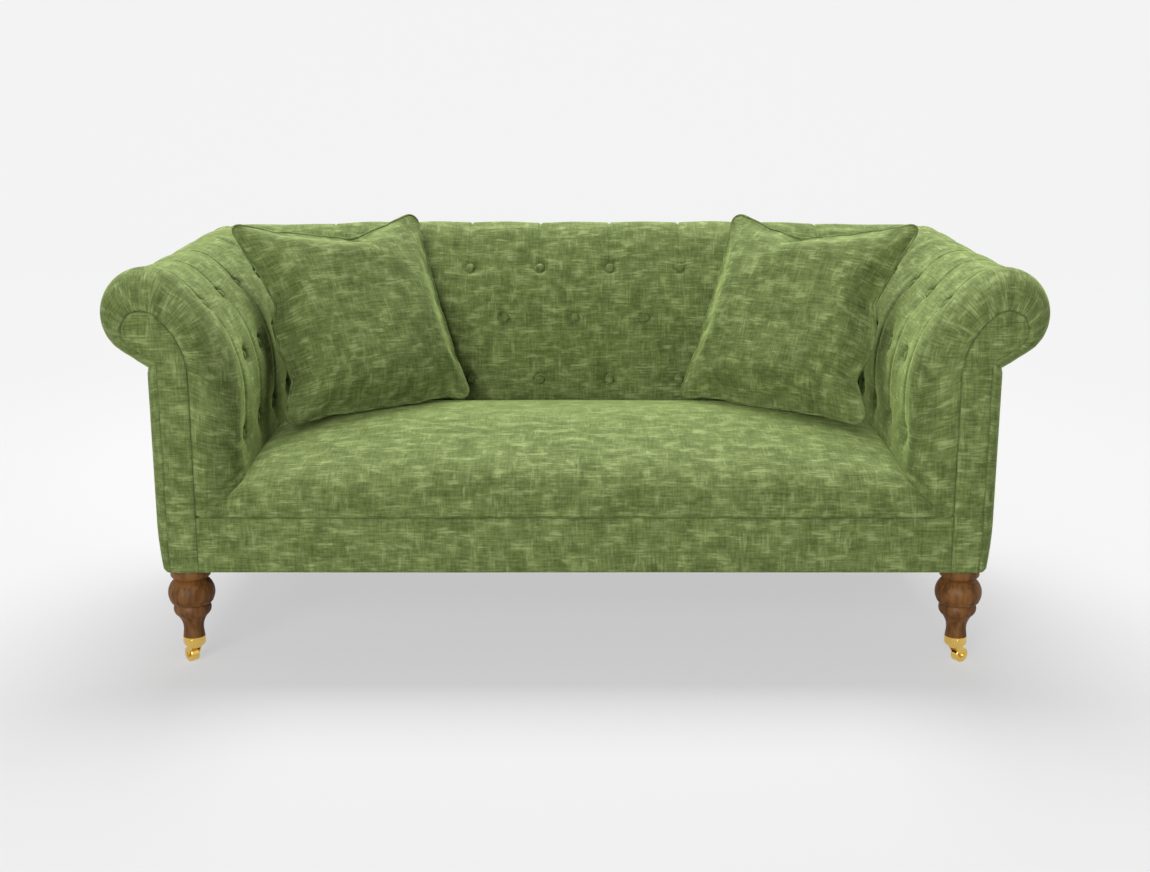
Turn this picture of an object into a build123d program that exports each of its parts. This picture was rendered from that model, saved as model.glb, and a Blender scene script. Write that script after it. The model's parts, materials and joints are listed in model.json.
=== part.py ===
"""Two-seat sofa with rolled arms and back, in separate pieces. Millimetres, front towards -Y, up +Z."""
import math
import os
from collections import namedtuple

from build123d import *

os.makedirs("parts", exist_ok=True)

# Overall size
WIDTH = 1780.0
DEPTH = 880.0
HEIGHT = 802.0
UNDERSIDE = 205.0
FRONT_Y = -DEPTH / 2

# Layers of the upholstery, from the outside in
COVER_T = 2.5
PAD_T = 35.0
WEB_T = 1.5
GAP = 0.3
PAD_IN = COVER_T + GAP
WEB_IN = PAD_IN + PAD_T + GAP
FRAME_IN = WEB_IN + WEB_T + GAP

# Rolled section shared by the arms and the back, u measured outwards from the middle
ROLL_R = 86.0
PAD_REACH = 152.0
INNER_TURN_DROP = 170.0
SIDE_STEP = 6.0
SIDE_TUCK = 16.0
BEND_RISE = 95.0
LEAVE_ANGLE = math.radians(56.5)
ROLL_U = WIDTH / 2 - ROLL_R
ROLL_Z = HEIGHT - ROLL_R
INNER_U = ROLL_U - PAD_REACH
INNER_Z = ROLL_Z - INNER_TURN_DROP
SIDE_U = ROLL_U + SIDE_STEP
BEND_Z = UNDERSIDE + BEND_RISE
RIDGE_Y = DEPTH / 2 - ROLL_R
BACK_SHIFT = RIDGE_Y - ROLL_U
INNER_Y = INNER_U + BACK_SHIFT

# Flat facing at the front of each arm and the rounding behind it
FRONT_R = 88.0
FRONT_TURNS = (0, 14, 32, 58, 90)
FACE_ROLL_R = 38.0
FACE_ROLL_OUT = 11.0
FACE_ROLL_DROP = 35.0
FACE_INNER_STEP = 81.0
FACE_TURN_DROP = 90.0
FACE_SIDE_STEP = 20.0
FACE_TUCK = 3.0
SPLIT_STEP = 5.0
FACE_INNER_U = INNER_U + FACE_INNER_STEP

# Seat
SEAM_Z = 316.0
TUCK_TOP_Z = 392.0
SEAT_CROWN_Z = 466.0
SEAT_PEAK_BACK = 360.0
SEAT_ROLL_SHARE = 0.74
SEAT_STATIONS = (0.0, 0.42, 0.72, 0.9, 1.0)
SEAT_WEDGE_END = 6.0
SEAT_STEP_SHARE = 0.62
SEAT_FRONT_WALL = 30.0
PAD_BASE_Z = SEAM_Z + 7.0
TUCK_SLOPE = (TUCK_TOP_Z - SEAM_Z) / FACE_INNER_STEP

# Buttons and pleats
BUTTON_R = 11.0
BUTTON_RIM = 3.0
BUTTON_DOME = 4.0
TUFT_R = 42.0
TUFT_FLOOR_R = 13.0
TUFT_DEEP = 12.0
TUFT_LIP = 3.0
PLEAT_HALF = 1.5
PLEAT_DEEP = 4.0
PLEAT_DROP = 12.0
PLEAT_UNDER = ROLL_R
ROW_LOW_Z = 459.0
ROW_MID_Z = 604.0
ROW_TOP_Z = 717.0
BACK_PITCH = 161.0
ARM_PITCH = 155.0
ARM_FIRST = 125.0

# Timber frame
FRAME_Z = UNDERSIDE + 2.0
RAIL_TOP_Z = SEAM_Z - 3.0
BOARD_T = 20.0
POST = 57.0
FRONT_RAIL_T = 45.0
RAIL_T = 32.0
STRETCHER_W = 32.0
STRETCHER_H = 50.0
STRETCHER_LIFT = 8.0
BLOCK_LONG = 70.0
BLOCK_MARGIN = 8.0
SCROLL_SKIRT = 20.0
STUFF_RAIL_H = 30.0
DOWEL_R = 5.0
DOWEL_LONG = 60.0
DOWEL_FIT = 0.1
DOWEL_LIFTS = (28.0, 78.0)
POST_IN = FACE_INNER_U
POST_OUT = POST_IN + POST
POST_FRONT_Y = FRONT_Y + PAD_IN + BOARD_T + GAP
POST_BACK_Y = POST_FRONT_Y + POST
REAR_POST_Y0 = POST_IN + BACK_SHIFT
REAR_POST_Y1 = REAR_POST_Y0 + POST
POST_TOP_Z = ROLL_Z - SCROLL_SKIRT
RAIL_OUT = POST_OUT

# Springing
SPRING_COUNT = 8
SPRING_PITCH = 165.0
SPRING_WIRE = 3.6
SPRING_RUN = 38.0
SPRING_STEP = 22.0
CLIP_W = 24.0
CLIP_D = 20.0
CLIP_H = 7.0
CLIP_FIT = 0.2
CLIP_INSET = 22.0
STRAP_W = 58.0
STRAP_LIFT = 4.0

# Legs
LEG_R = 45.0
LEG_BOLT_R = 4.0
LEG_BOLT_DOWN = 45.0
LEG_BOLT_UP = 40.0
LEG_BOLT_FIT = 0.1
REAR_LEG_TOP = 46.0
REAR_LEG_FOOT = 34.0
REAR_LEG_RAKE = 30.0
LEG_X = (POST_IN + POST_OUT) / 2
FRONT_LEG_Y = (POST_FRONT_Y + POST_BACK_Y) / 2
REAR_LEG_Y = (REAR_POST_Y0 + REAR_POST_Y1) / 2

# Castors
WHEEL_R = 15.5
WHEEL_W = 18.0
TRAIL = 13.0
AXLE_R = 2.5
RUNNING_FIT = 0.05
CHEEK_T = 2.5
CHEEK_GAP = 0.5
RIVET_R = 4.0
RIVET_H = 1.5
CROWN_R = 13.0
CROWN_T = 4.0
CROWN_CLEAR = 3.0
PIN_R = 4.0
PIN_RISE = 20.0
CUP_R = 22.0
CUP_FOOT_R = 20.0
CUP_WALL = 3.8
CUP_FLOOR = 4.0
CUP_BOSS_R = 8.0
CUP_BOSS_H = 1.7
CUP_H = 18.0
SEAT_FIT = 0.2
CUP_SCREW_R = 1.5
CUP_SCREW_HEAD_R = 2.6
CUP_SCREW_LONG = 9.0
LEFT_TURN = 42.0
RIGHT_TURN = -58.0
CROWN_Z = 2 * WHEEL_R + CROWN_CLEAR
CROWN_TOP_Z = CROWN_Z + CROWN_T
CUP_Z = CROWN_TOP_Z + GAP + CUP_BOSS_H
CUP_FLOOR_Z = CUP_Z + CUP_FLOOR
CUP_RIM_Z = CUP_Z + CUP_H

# Scatter cushions
CUSHION_SIDE = 445.0
CUSHION_THICK = 146.0
CUSHION_DRAW = 14.0
CUSHION_SEAM = 3.0
CUSHION_WALL = 2.5
CUSHION_TIP = 15.0
CUSHION_STATIONS = (0.0, 0.25, 0.52, 0.78, 1.0)
PIPING_R = 2.5
PIPING_CORNER_R = 14.0
CUSHION_FROM_ARM = 165.0
CUSHION_FROM_BACK = 148.0
CUSHION_DROP_FROM = 224.0
CUSHION_LEAN = 30.0
CUSHION_YAW = 36.0
REST_GAP = 0.5

Outline = namedtuple("Outline", "roll_u roll_z roll_r inner_u inner_z side_u bend_r")


def bend_radius(tuck):
    """Radius of the arc that draws the outer side in by tuck at the bottom."""
    return (BEND_RISE ** 2 + tuck ** 2) / (2 * tuck)


ARM = Outline(ROLL_U, ROLL_Z, ROLL_R, INNER_U, INNER_Z, SIDE_U, bend_radius(SIDE_TUCK))
FACING = Outline(ROLL_U + FACE_ROLL_OUT, ROLL_Z - FACE_ROLL_DROP, FACE_ROLL_R, FACE_INNER_U,
                 ROLL_Z - FACE_ROLL_DROP - FACE_TURN_DROP, SIDE_U - FACE_SIDE_STEP,
                 bend_radius(FACE_TUCK))


def inset(outline, amount):
    """The outline drawn in by amount all round, its centres kept."""
    return outline._replace(roll_r=outline.roll_r - amount, inner_u=outline.inner_u + amount,
                            side_u=outline.side_u - amount, bend_r=outline.bend_r - amount)


def blend(first, second, share):
    """An outline part of the way from first to second."""
    return Outline(*[a + (b - a) * share for a, b in zip(first, second)])


def inner_arc(outline):
    """Centre, radius and end angle of the long arc between the inner face and the roll."""
    across = outline.roll_u - outline.inner_u - outline.roll_r
    down = outline.roll_z - outline.inner_z
    lean = 2 * (math.atan2(down, across) - math.pi / 4)
    reach = down / math.cos(lean)
    return outline.roll_u + reach * math.sin(lean), reach + outline.roll_r, math.pi / 2 + lean


def junction_z(outline):
    """Height where the underside of the roll meets the outer side."""
    leave_u = outline.roll_u + outline.roll_r * math.cos(LEAVE_ANGLE)
    leave_z = outline.roll_z - outline.roll_r * math.sin(LEAVE_ANGLE)
    return leave_z - (leave_u - outline.side_u) / math.tan(LEAVE_ANGLE)


def section_face(outline, low, place):
    """Closed face of one rolled section, down to the height low."""
    big_u, big_r, turn = inner_arc(outline)

    def roll_at(angle):
        return place(outline.roll_u + outline.roll_r * math.cos(angle),
                     outline.roll_z + outline.roll_r * math.sin(angle))

    def inner_at(angle):
        return place(big_u + big_r * math.cos(angle), outline.inner_z + big_r * math.sin(angle))

    bend_u = outline.side_u - outline.bend_r
    bend_end = math.asin((BEND_Z - low) / outline.bend_r)

    def bend_at(angle):
        return place(bend_u + outline.bend_r * math.cos(angle),
                     BEND_Z - outline.bend_r * math.sin(angle))

    foot = place(outline.inner_u, low)
    joint = place(outline.side_u, junction_z(outline))
    edges = [
        Edge.make_line(foot, inner_at(math.pi)),
        Edge.make_three_point_arc(inner_at(math.pi), inner_at((math.pi + turn) / 2), inner_at(turn)),
        Edge.make_three_point_arc(roll_at(turn), roll_at(turn / 2), roll_at(0)),
        Edge.make_three_point_arc(roll_at(0), roll_at(-LEAVE_ANGLE / 2), roll_at(-LEAVE_ANGLE)),
        Edge.make_line(roll_at(-LEAVE_ANGLE), joint),
        Edge.make_line(joint, bend_at(0)),
        Edge.make_three_point_arc(bend_at(0), bend_at(bend_end / 2), bend_at(bend_end)),
        Edge.make_line(bend_at(bend_end), foot),
    ]
    return Face(Wire(edges))


def on_arm(y):
    """Places a section point in the upright plane across the right arm at y."""
    return lambda u, z: Vector(u, y, z)


def on_back(x):
    """Places a section point in the upright plane along the back at x."""
    return lambda u, z: Vector(x, u + BACK_SHIFT, z)


def box(x0, x1, y0, y1, z0, z1):
    """A box between two opposite corners."""
    return Pos((x0 + x1) / 2, (y0 + y1) / 2, (z0 + z1) / 2) * Box(x1 - x0, y1 - y0, z1 - z0)


def rod(radius, start, end):
    """A round rod between two points."""
    start = Vector(*start)
    way = Vector(*end) - start
    return Solid.make_cylinder(radius, way.length, Plane(origin=start, z_dir=way))


def flat_plate(points, low, high):
    """A level plate with straight edges, given by its corners in plan."""
    corners = [Vector(x, y, low) for x, y in points]
    wire = Wire.make_polygon(corners, close=True)
    return extrude(Face(wire), amount=high - low, dir=(0, 0, 1))


def left_of(shape):
    """The same piece on the left side."""
    return mirror(shape, about=Plane.YZ)


def group(shapes):
    """Separate solids that share one node."""
    return Compound(children=list(shapes))


def save(name, shape):
    """Writes one node."""
    export_step(shape, f"parts/{name}.step")


def tuck_z(u):
    """Height of the sloping line where the arm and back pads meet the seat."""
    return TUCK_TOP_Z - (u - INNER_U) * TUCK_SLOPE


# Space beyond the corner line between arm and back, cut at 45 degrees
MITRE_GAP = 0.3
MITRE_REACH = 400.0


def mitre_block(keep_front):
    """Plan wedge on one side of the right corner line."""
    shift = MITRE_GAP if not keep_front else -MITRE_GAP
    far = RIDGE_Y + 3 * MITRE_REACH if keep_front else RIDGE_Y - 3 * MITRE_REACH
    near = (ROLL_U - MITRE_REACH, RIDGE_Y - MITRE_REACH + shift)
    outer = (ROLL_U + MITRE_REACH, RIDGE_Y + MITRE_REACH + shift)
    return flat_plate([near, outer, (outer[0], far), (near[0], far)], 0, HEIGHT + ROLL_R)


BEHIND_CORNER = mitre_block(True)
BEFORE_CORNER = mitre_block(False)
RUN_END_Y = DEPTH / 2 + ROLL_R
HALF_RUN = WIDTH / 2 + ROLL_R


def arm_prism(outline, low, start_y):
    """Right arm section run from start_y to the corner line."""
    face = section_face(outline, low, on_arm(start_y))
    return extrude(face, amount=RUN_END_Y - start_y, dir=(0, 1, 0)) - BEHIND_CORNER


def back_prism(outline, low):
    """Back section run between the two corner lines."""
    face = section_face(outline, low, on_back(-HALF_RUN))
    run = extrude(face, amount=2 * HALF_RUN, dir=(1, 0, 0))
    return run - BEFORE_CORNER - left_of(BEFORE_CORNER)


def inner_point(z):
    """Distance out and outward direction of the padded inner face at a height."""
    if z <= INNER_Z:
        return INNER_U, -1.0, 0.0
    big_u, big_r, turn = inner_arc(ARM)
    rise = (z - INNER_Z) / big_r
    across = math.sqrt(1 - rise ** 2)
    return big_u - big_r * across, -across, rise


def button_places():
    """Points and directions of the arm buttons and of the back buttons."""
    arm_spots = []
    back_spots = []
    arm_steps = {ROW_LOW_Z: (0, 1, 2, 3), ROW_MID_Z: (0.5, 1.5, 2.5), ROW_TOP_Z: (0, 1, 2, 3)}
    back_steps = {ROW_LOW_Z: (0.5, 1.5, 2.5, 3.5), ROW_MID_Z: (0, 1, 2, 3),
                  ROW_TOP_Z: (0.5, 1.5, 2.5, 3.5)}
    for z, steps in arm_steps.items():
        u, out, rise = inner_point(z)
        for step in steps:
            y = FRONT_Y + ARM_FIRST + step * ARM_PITCH
            arm_spots.append((Vector(u, y, z), Vector(out, 0, rise)))
    for z, steps in back_steps.items():
        u, out, rise = inner_point(z)
        columns = sorted({side * step * BACK_PITCH for step in steps for side in (-1, 1)})
        for x in columns:
            back_spots.append((Vector(x, u + BACK_SHIFT, z), Vector(0, out, rise)))
    return arm_spots, back_spots


ARM_SPOTS, BACK_SPOTS = button_places()
ARM_PLEATS = [FRONT_Y + ARM_FIRST + step * ARM_PITCH for step in range(4)]
BACK_PLEATS = [side * (step + 0.5) * BACK_PITCH for step in range(4) for side in (-1, 1)]


def tufts(spots, amount):
    """Cone-shaped hollows pulled in at the buttons, for a layer set in by amount."""
    cones = []
    for point, out in spots:
        plane = Plane(origin=point + out * (TUFT_LIP - amount), z_dir=out * -1)
        cones.append(Solid.make_cone(TUFT_R, TUFT_FLOOR_R, TUFT_LIP + TUFT_DEEP, plane))
    return cones


def pleat_band(amount, place, way):
    """Shallow slot over the roll to the line under it, for a layer set in by amount."""
    half = PLEAT_HALF + amount
    over = section_face(inset(ARM, -TUFT_LIP), UNDERSIDE, place)
    under = section_face(inset(ARM, PLEAT_DEEP + amount), UNDERSIDE, place)
    ring = extrude(over, amount=half, dir=way, both=True) - extrude(under, amount=half, dir=way, both=True)
    inner_low = ROW_TOP_Z - PLEAT_DROP - amount
    outer_low = ROLL_Z - PLEAT_UNDER - amount
    top = HEIGHT + ROLL_R
    stretch = [(INNER_U, inner_low), (ROLL_U, inner_low), (ROLL_U, outer_low), (WIDTH, outer_low),
               (WIDTH, top), (INNER_U, top)]
    window = Face(Wire.make_polygon([place(u, z) for u, z in stretch], close=True))
    return ring & extrude(window, amount=half, dir=way, both=True)


def arm_layer(amount, low):
    """Right arm solid set in by amount, with its rounded front, hollows and pleats."""
    full = inset(ARM, amount)
    faces = []
    for turn in FRONT_TURNS:
        angle = math.radians(turn)
        y = FRONT_Y + FRONT_R - (FRONT_R - amount) * math.cos(angle)
        faces.append(section_face(blend(FACING, full, math.sin(angle)), low, on_arm(y)))
    body = loft(faces) + arm_prism(full, low, FRONT_Y + FRONT_R)
    slot = pleat_band(amount, on_arm(0), (0, 1, 0))
    return body - tufts(ARM_SPOTS, amount) - [Pos(0, y, 0) * slot for y in ARM_PLEATS]


def back_layer(amount, low):
    """Back solid set in by amount, with its hollows and pleats."""
    body = back_prism(inset(ARM, amount), low)
    slot = pleat_band(amount, on_back(0), (1, 0, 0))
    return body - tufts(BACK_SPOTS, amount) - [Pos(x, 0, 0) * slot for x in BACK_PLEATS]


def tuck_prism(place, way, length):
    """Space below the sloping line, kept free for the seat."""
    u0 = INNER_U - PAD_REACH
    u1 = FACE_INNER_U + GAP
    low = UNDERSIDE - PAD_T
    corners = [place(u0, tuck_z(u0) + GAP), place(u1, tuck_z(u1) + GAP), place(u1, low), place(u0, low)]
    return extrude(Face(Wire.make_polygon(corners, close=True)), amount=length, dir=way)


def seat_height(x):
    """Height of the crown of the seat across its width."""
    share = min(1.0, abs(x) / (INNER_U - GAP))
    end = TUCK_TOP_Z - 2 * GAP
    return end + (SEAT_CROWN_Z - end) * math.sqrt(1 - share ** 3)


def seat_face(x, top, amount):
    """Front-to-back section of the seat at x: front roll, crown, rear tuck and flat base."""
    low = SEAM_Z + GAP
    rise = top - low
    front = FRONT_Y + amount
    rear = INNER_Y - GAP - amount
    roll = SEAT_ROLL_SHARE * rise
    tilt = 2 * math.atan((rise - roll) / (SEAT_PEAK_BACK - roll))
    crown_r = roll + (SEAT_PEAK_BACK - roll) / math.sin(tilt)
    peak_y = front + SEAT_PEAK_BACK
    crown_low = top - crown_r

    def roll_at(angle):
        return Vector(x, front + roll - roll * math.cos(angle), low + roll * math.sin(angle))

    def crown_at(y):
        return Vector(x, y, crown_low + math.sqrt(crown_r ** 2 - (y - peak_y) ** 2))

    join = roll_at(math.pi / 2 - tilt)
    rear_top = crown_at(rear)
    step_z = low + SEAT_STEP_SHARE * (rear_top.Z - low)
    rear_step = Vector(x, rear, step_z)
    rear_foot = Vector(x, rear + (step_z - low) / TUCK_SLOPE, low)
    start = Vector(x, front, low)
    edges = [
        Edge.make_three_point_arc(start, roll_at((math.pi / 2 - tilt) / 2), join),
        Edge.make_three_point_arc(join, crown_at((join.Y + rear) / 2), rear_top),
        Edge.make_line(rear_top, rear_step),
        Edge.make_line(rear_step, rear_foot),
        Edge.make_line(rear_foot, start),
    ]
    return Face(Wire(edges))


def seat_body(amount):
    """Crowned seat solid set in by amount, with wedge ends under the arm pads."""
    half = INNER_U - GAP
    right = [share * half for share in SEAT_STATIONS]
    stations = [-x for x in reversed(right[1:])] + right
    middle = loft([seat_face(x, seat_height(x) - amount, amount) for x in stations])
    end_x = FACE_INNER_U - SEAT_WEDGE_END - 3 * amount
    end_top = tuck_z(end_x) - 2 * GAP - amount
    shoulder = seat_face(half, seat_height(half) - amount, amount)
    wedge = loft([shoulder, seat_face(end_x, end_top, amount)], ruled=True)
    return middle + wedge + left_of(wedge)


# Shared cutters for the arm layers
SPLIT_U = FACE_INNER_U + SPLIT_STEP
SPLIT_Z = junction_z(ARM)
FACE_CUT = extrude(section_face(FACING, UNDERSIDE, on_arm(FRONT_Y - COVER_T)),
                   amount=2 * COVER_T + GAP, dir=(0, 1, 0))
FACING_FIT = inset(FACING, GAP)
seat_foot = FACE_INNER_U + GAP
ARM_TUCK = (seat_body(-GAP) + box(-seat_foot, seat_foot, -DEPTH, DEPTH, 0, SEAM_Z + 2 * GAP)
            + box(-seat_foot, seat_foot, FRONT_Y + FRONT_R, DEPTH, 0, PAD_BASE_Z + GAP))
BACK_TUCK = tuck_prism(on_back(-WIDTH), (1, 0, 0), 2 * WIDTH)
ARM_OUTER = box(SPLIT_U, WIDTH, -DEPTH, DEPTH, 0, SPLIT_Z)
BACK_OUTER = box(-WIDTH, WIDTH, SPLIT_U + BACK_SHIFT, DEPTH, 0, SPLIT_Z)
ARM_INNER_END = box(0, WIDTH, -DEPTH, DEPTH, 0, SPLIT_Z + GAP) & box(SPLIT_U - GAP, WIDTH, -DEPTH, DEPTH,
                                                                     0, HEIGHT)
BACK_INNER_END = box(-WIDTH, WIDTH, SPLIT_U + BACK_SHIFT - GAP, DEPTH, 0, SPLIT_Z + GAP)

# Arm cover, outside panel, facing, pad and webbing
arm_shell = arm_layer(0, UNDERSIDE) - arm_layer(COVER_T, UNDERSIDE - COVER_T) - FACE_CUT
arm_cover = arm_shell - ARM_INNER_END
outside_arm = arm_shell & ARM_OUTER
facing_panel = extrude(section_face(FACING_FIT, UNDERSIDE, on_arm(FRONT_Y)), amount=COVER_T, dir=(0, 1, 0))
board_y = FRONT_Y + PAD_IN
facing_board = extrude(section_face(FACING_FIT, FRAME_Z, on_arm(board_y)), amount=BOARD_T, dir=(0, 1, 0))
board_space = extrude(section_face(FACING, UNDERSIDE, on_arm(FRONT_Y - COVER_T)),
                      amount=COVER_T + PAD_IN + BOARD_T + 2 * GAP, dir=(0, 1, 0))
arm_hollow = arm_prism(inset(ARM, PAD_IN + PAD_T), UNDERSIDE - PAD_T, board_y + BOARD_T + GAP)
post_space_x = (POST_IN - GAP, POST_OUT + GAP)
post_space_z = (0, POST_TOP_Z + GAP)
rear_post_space = box(*post_space_x, REAR_POST_Y0 - GAP, REAR_POST_Y1 + GAP, *post_space_z)
centre_post_space = box(-POST / 2 - GAP, POST / 2 + GAP, REAR_POST_Y0 - GAP, REAR_POST_Y1 + GAP,
                        *post_space_z)
arm_post_space = [box(*post_space_x, POST_FRONT_Y - GAP, POST_BACK_Y + GAP, *post_space_z), rear_post_space]
back_post_space = [rear_post_space, left_of(rear_post_space), centre_post_space]
arm_pad = arm_layer(PAD_IN, UNDERSIDE) - arm_hollow - board_space - ARM_INNER_END - arm_post_space

STUFF_U = INNER_U + FRAME_IN
STUFF_Z = tuck_z(STUFF_U) + 2 * GAP
web_y = POST_BACK_Y
arm_web_shell = (arm_prism(inset(ARM, WEB_IN), UNDERSIDE, web_y)
                 - arm_prism(inset(ARM, WEB_IN + WEB_T), UNDERSIDE - PAD_T, web_y - COVER_T))
back_web_shell = back_prism(inset(ARM, WEB_IN), UNDERSIDE) - back_prism(inset(ARM, WEB_IN + WEB_T),
                                                                        UNDERSIDE - PAD_T)
strap_z = STUFF_Z + STRAP_LIFT
arm_strap_space = [box(0, ROLL_U, y - STRAP_W / 2, y + STRAP_W / 2, strap_z, HEIGHT)
                   for y in [ARM_PLEATS[0] + (step + 0.5) * ARM_PITCH for step in range(3)]]
back_strap_space = [box(x - STRAP_W / 2, x + STRAP_W / 2, 0, RIDGE_Y, strap_z, HEIGHT)
                    for x in [step * BACK_PITCH for step in (-3, -2, -1, 0, 1, 2, 3)]]
arm_strap_end = box(SPLIT_U - GAP, WIDTH, -DEPTH, DEPTH, 0, POST_TOP_Z + GAP)
back_strap_end = box(-WIDTH, WIDTH, SPLIT_U + BACK_SHIFT - GAP, DEPTH, 0, POST_TOP_Z + GAP)
arm_webbing = [(arm_web_shell & space) - arm_strap_end for space in arm_strap_space]
back_webbing = [(back_web_shell & space) - back_strap_end for space in back_strap_space]

save("arm_cover_right", arm_cover - ARM_TUCK)
save("arm_cover_left", left_of(arm_cover) - ARM_TUCK)
save("outside_arm_panel_right", outside_arm)
save("outside_arm_panel_left", left_of(outside_arm))
save("arm_facing_panel_right", facing_panel)
save("arm_facing_panel_left", left_of(facing_panel))
save("arm_facing_board_right", facing_board)
save("arm_facing_board_left", left_of(facing_board))
save("arm_pad_right", arm_pad - ARM_TUCK)
save("arm_pad_left", left_of(arm_pad) - ARM_TUCK)
save("arm_webbing", group(arm_webbing + [left_of(strap) for strap in arm_webbing]))
save("back_webbing", group(back_webbing))

# Back cover, outside panel and pad
back_shell = back_layer(0, UNDERSIDE) - back_layer(COVER_T, UNDERSIDE - COVER_T)
back_cover = back_shell - BACK_INNER_END - BACK_TUCK
outside_back = back_shell & BACK_OUTER
back_hollow = back_prism(inset(ARM, PAD_IN + PAD_T), UNDERSIDE - PAD_T)
back_pad = back_layer(PAD_IN, UNDERSIDE) - back_hollow - BACK_INNER_END - BACK_TUCK - back_post_space
save("back_cover", back_cover)
save("outside_back_panel", outside_back)
save("back_pad", back_pad)


def button(point, out):
    """Domed covered button sitting on the floor of its hollow."""
    ball_r = (BUTTON_R ** 2 + BUTTON_DOME ** 2) / (2 * BUTTON_DOME)
    ball = Pos(0, 0, BUTTON_RIM + BUTTON_DOME - ball_r) * Sphere(ball_r)
    dome = ball & rod(BUTTON_R, (0, 0, 0), (0, 0, BUTTON_RIM + BUTTON_DOME))
    return Plane(origin=point - out * (TUFT_DEEP - GAP), z_dir=out).location * dome


arm_buttons = [button(point, out) for point, out in ARM_SPOTS]
save("arm_buttons", group(arm_buttons + [left_of(piece) for piece in arm_buttons]))
save("back_buttons", group([button(point, out) for point, out in BACK_SPOTS]))


seat_outside = seat_body(0)
cover_open = box(-WIDTH, WIDTH, FRONT_Y + SEAT_FRONT_WALL, DEPTH, 0, PAD_BASE_Z)
seat_cover = seat_outside - seat_body(COVER_T) - cover_open
seat_pad = seat_body(PAD_IN) - box(-WIDTH, WIDTH, -DEPTH, DEPTH, 0, PAD_BASE_Z)
save("seat_cover", seat_cover)
save("seat_pad", seat_pad)

# Border below the seat seam, and the sheet under the sofa
border_half = FACE_INNER_U - 2 * GAP
save("front_border", box(-border_half, border_half, FRONT_Y, FRONT_Y + COVER_T, UNDERSIDE, SEAM_Z))
dust_x = POST_OUT - 6.0
dust_y0 = FRONT_Y + 8.0
dust_y1 = REAR_POST_Y1 - 6.0
dust_sheet = box(-dust_x, dust_x, dust_y0, dust_y1, UNDERSIDE, FRAME_Z - GAP)
leg_holes = []
for side in (-1, 1):
    hole_x = (side * LEG_X - LEG_R, side * LEG_X + LEG_R)
    leg_holes.append(box(*hole_x, FRONT_Y - 1, FRONT_LEG_Y + LEG_R, 0, FRAME_Z))
    leg_holes.append(box(*hole_x, REAR_LEG_Y - LEG_R, DEPTH, 0, FRAME_Z))
save("dust_cover", dust_sheet - leg_holes)

# Dowels through the seat frame joints
dowels = []
front_dowel_y = FRONT_Y + PAD_IN + FRONT_RAIL_T * 0.72
rear_dowel_y = REAR_POST_Y1 - RAIL_T / 2
side_dowel_x = RAIL_OUT - RAIL_T / 2
half_dowel = DOWEL_LONG / 2
for lift in DOWEL_LIFTS:
    z = FRAME_Z + lift
    for y in (front_dowel_y, rear_dowel_y):
        dowels.append(((POST_IN - half_dowel, y, z), (POST_IN + half_dowel, y, z)))
    for y in (POST_BACK_Y, REAR_POST_Y0):
        dowels.append(((side_dowel_x, y - half_dowel, z), (side_dowel_x, y + half_dowel, z)))
right_dowels = [rod(DOWEL_R, start, end) for start, end in dowels]
right_dowel_holes = [rod(DOWEL_R + DOWEL_FIT, start, end) for start, end in dowels]
dowel_holes = right_dowel_holes + [left_of(piece) for piece in right_dowel_holes]
save("frame_dowels", group(right_dowels + [left_of(piece) for piece in right_dowels]))

# Bolts from the legs up into the posts
front_bolt = ((LEG_X, FRONT_LEG_Y, FRAME_Z - LEG_BOLT_DOWN), (LEG_X, FRONT_LEG_Y, FRAME_Z + LEG_BOLT_UP))
rear_bolt = ((LEG_X, REAR_LEG_Y, FRAME_Z - LEG_BOLT_DOWN), (LEG_X, REAR_LEG_Y, FRAME_Z + LEG_BOLT_UP))
right_bolts = [rod(LEG_BOLT_R, *front_bolt), rod(LEG_BOLT_R, *rear_bolt)]
bolt_holes = [rod(LEG_BOLT_R + LEG_BOLT_FIT, *front_bolt), rod(LEG_BOLT_R + LEG_BOLT_FIT, *rear_bolt)]
save("leg_bolts", group(right_bolts + [left_of(piece) for piece in right_bolts]))

# Posts and rails
post_holes = dowel_holes + bolt_holes
front_post = box(POST_IN, POST_OUT, POST_FRONT_Y, POST_BACK_Y, FRAME_Z, POST_TOP_Z) - post_holes
rear_post = box(POST_IN, POST_OUT, REAR_POST_Y0, REAR_POST_Y1, FRAME_Z, POST_TOP_Z) - post_holes
save("front_post_right", front_post)
save("front_post_left", left_of(front_post))
save("rear_post_right", rear_post)
save("rear_post_left", left_of(rear_post))
rail_half = POST_IN - GAP
rail_z = (FRAME_Z, RAIL_TOP_Z)
front_rail = box(-rail_half, rail_half, board_y, board_y + FRONT_RAIL_T, *rail_z) - dowel_holes
rear_rail = box(-rail_half, rail_half, REAR_POST_Y1 - RAIL_T, REAR_POST_Y1, *rail_z) - dowel_holes
side_rail = box(RAIL_OUT - RAIL_T, RAIL_OUT, POST_BACK_Y + GAP, REAR_POST_Y0 - GAP, *rail_z) - dowel_holes
save("front_seat_rail", front_rail)
save("rear_seat_rail", rear_rail)
save("side_seat_rail_right", side_rail)
save("side_seat_rail_left", left_of(side_rail))
front_inner_y = board_y + FRONT_RAIL_T
rear_inner_y = REAR_POST_Y1 - RAIL_T
stretcher_z = FRAME_Z + STRETCHER_LIFT
save("centre_stretcher", box(-STRETCHER_W / 2, STRETCHER_W / 2, front_inner_y, rear_inner_y,
                             stretcher_z, stretcher_z + STRETCHER_H))
block_low = FRAME_Z + BLOCK_MARGIN
block_high = RAIL_TOP_Z - BLOCK_MARGIN
block_x = POST_IN - GAP
blocks = []
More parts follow.
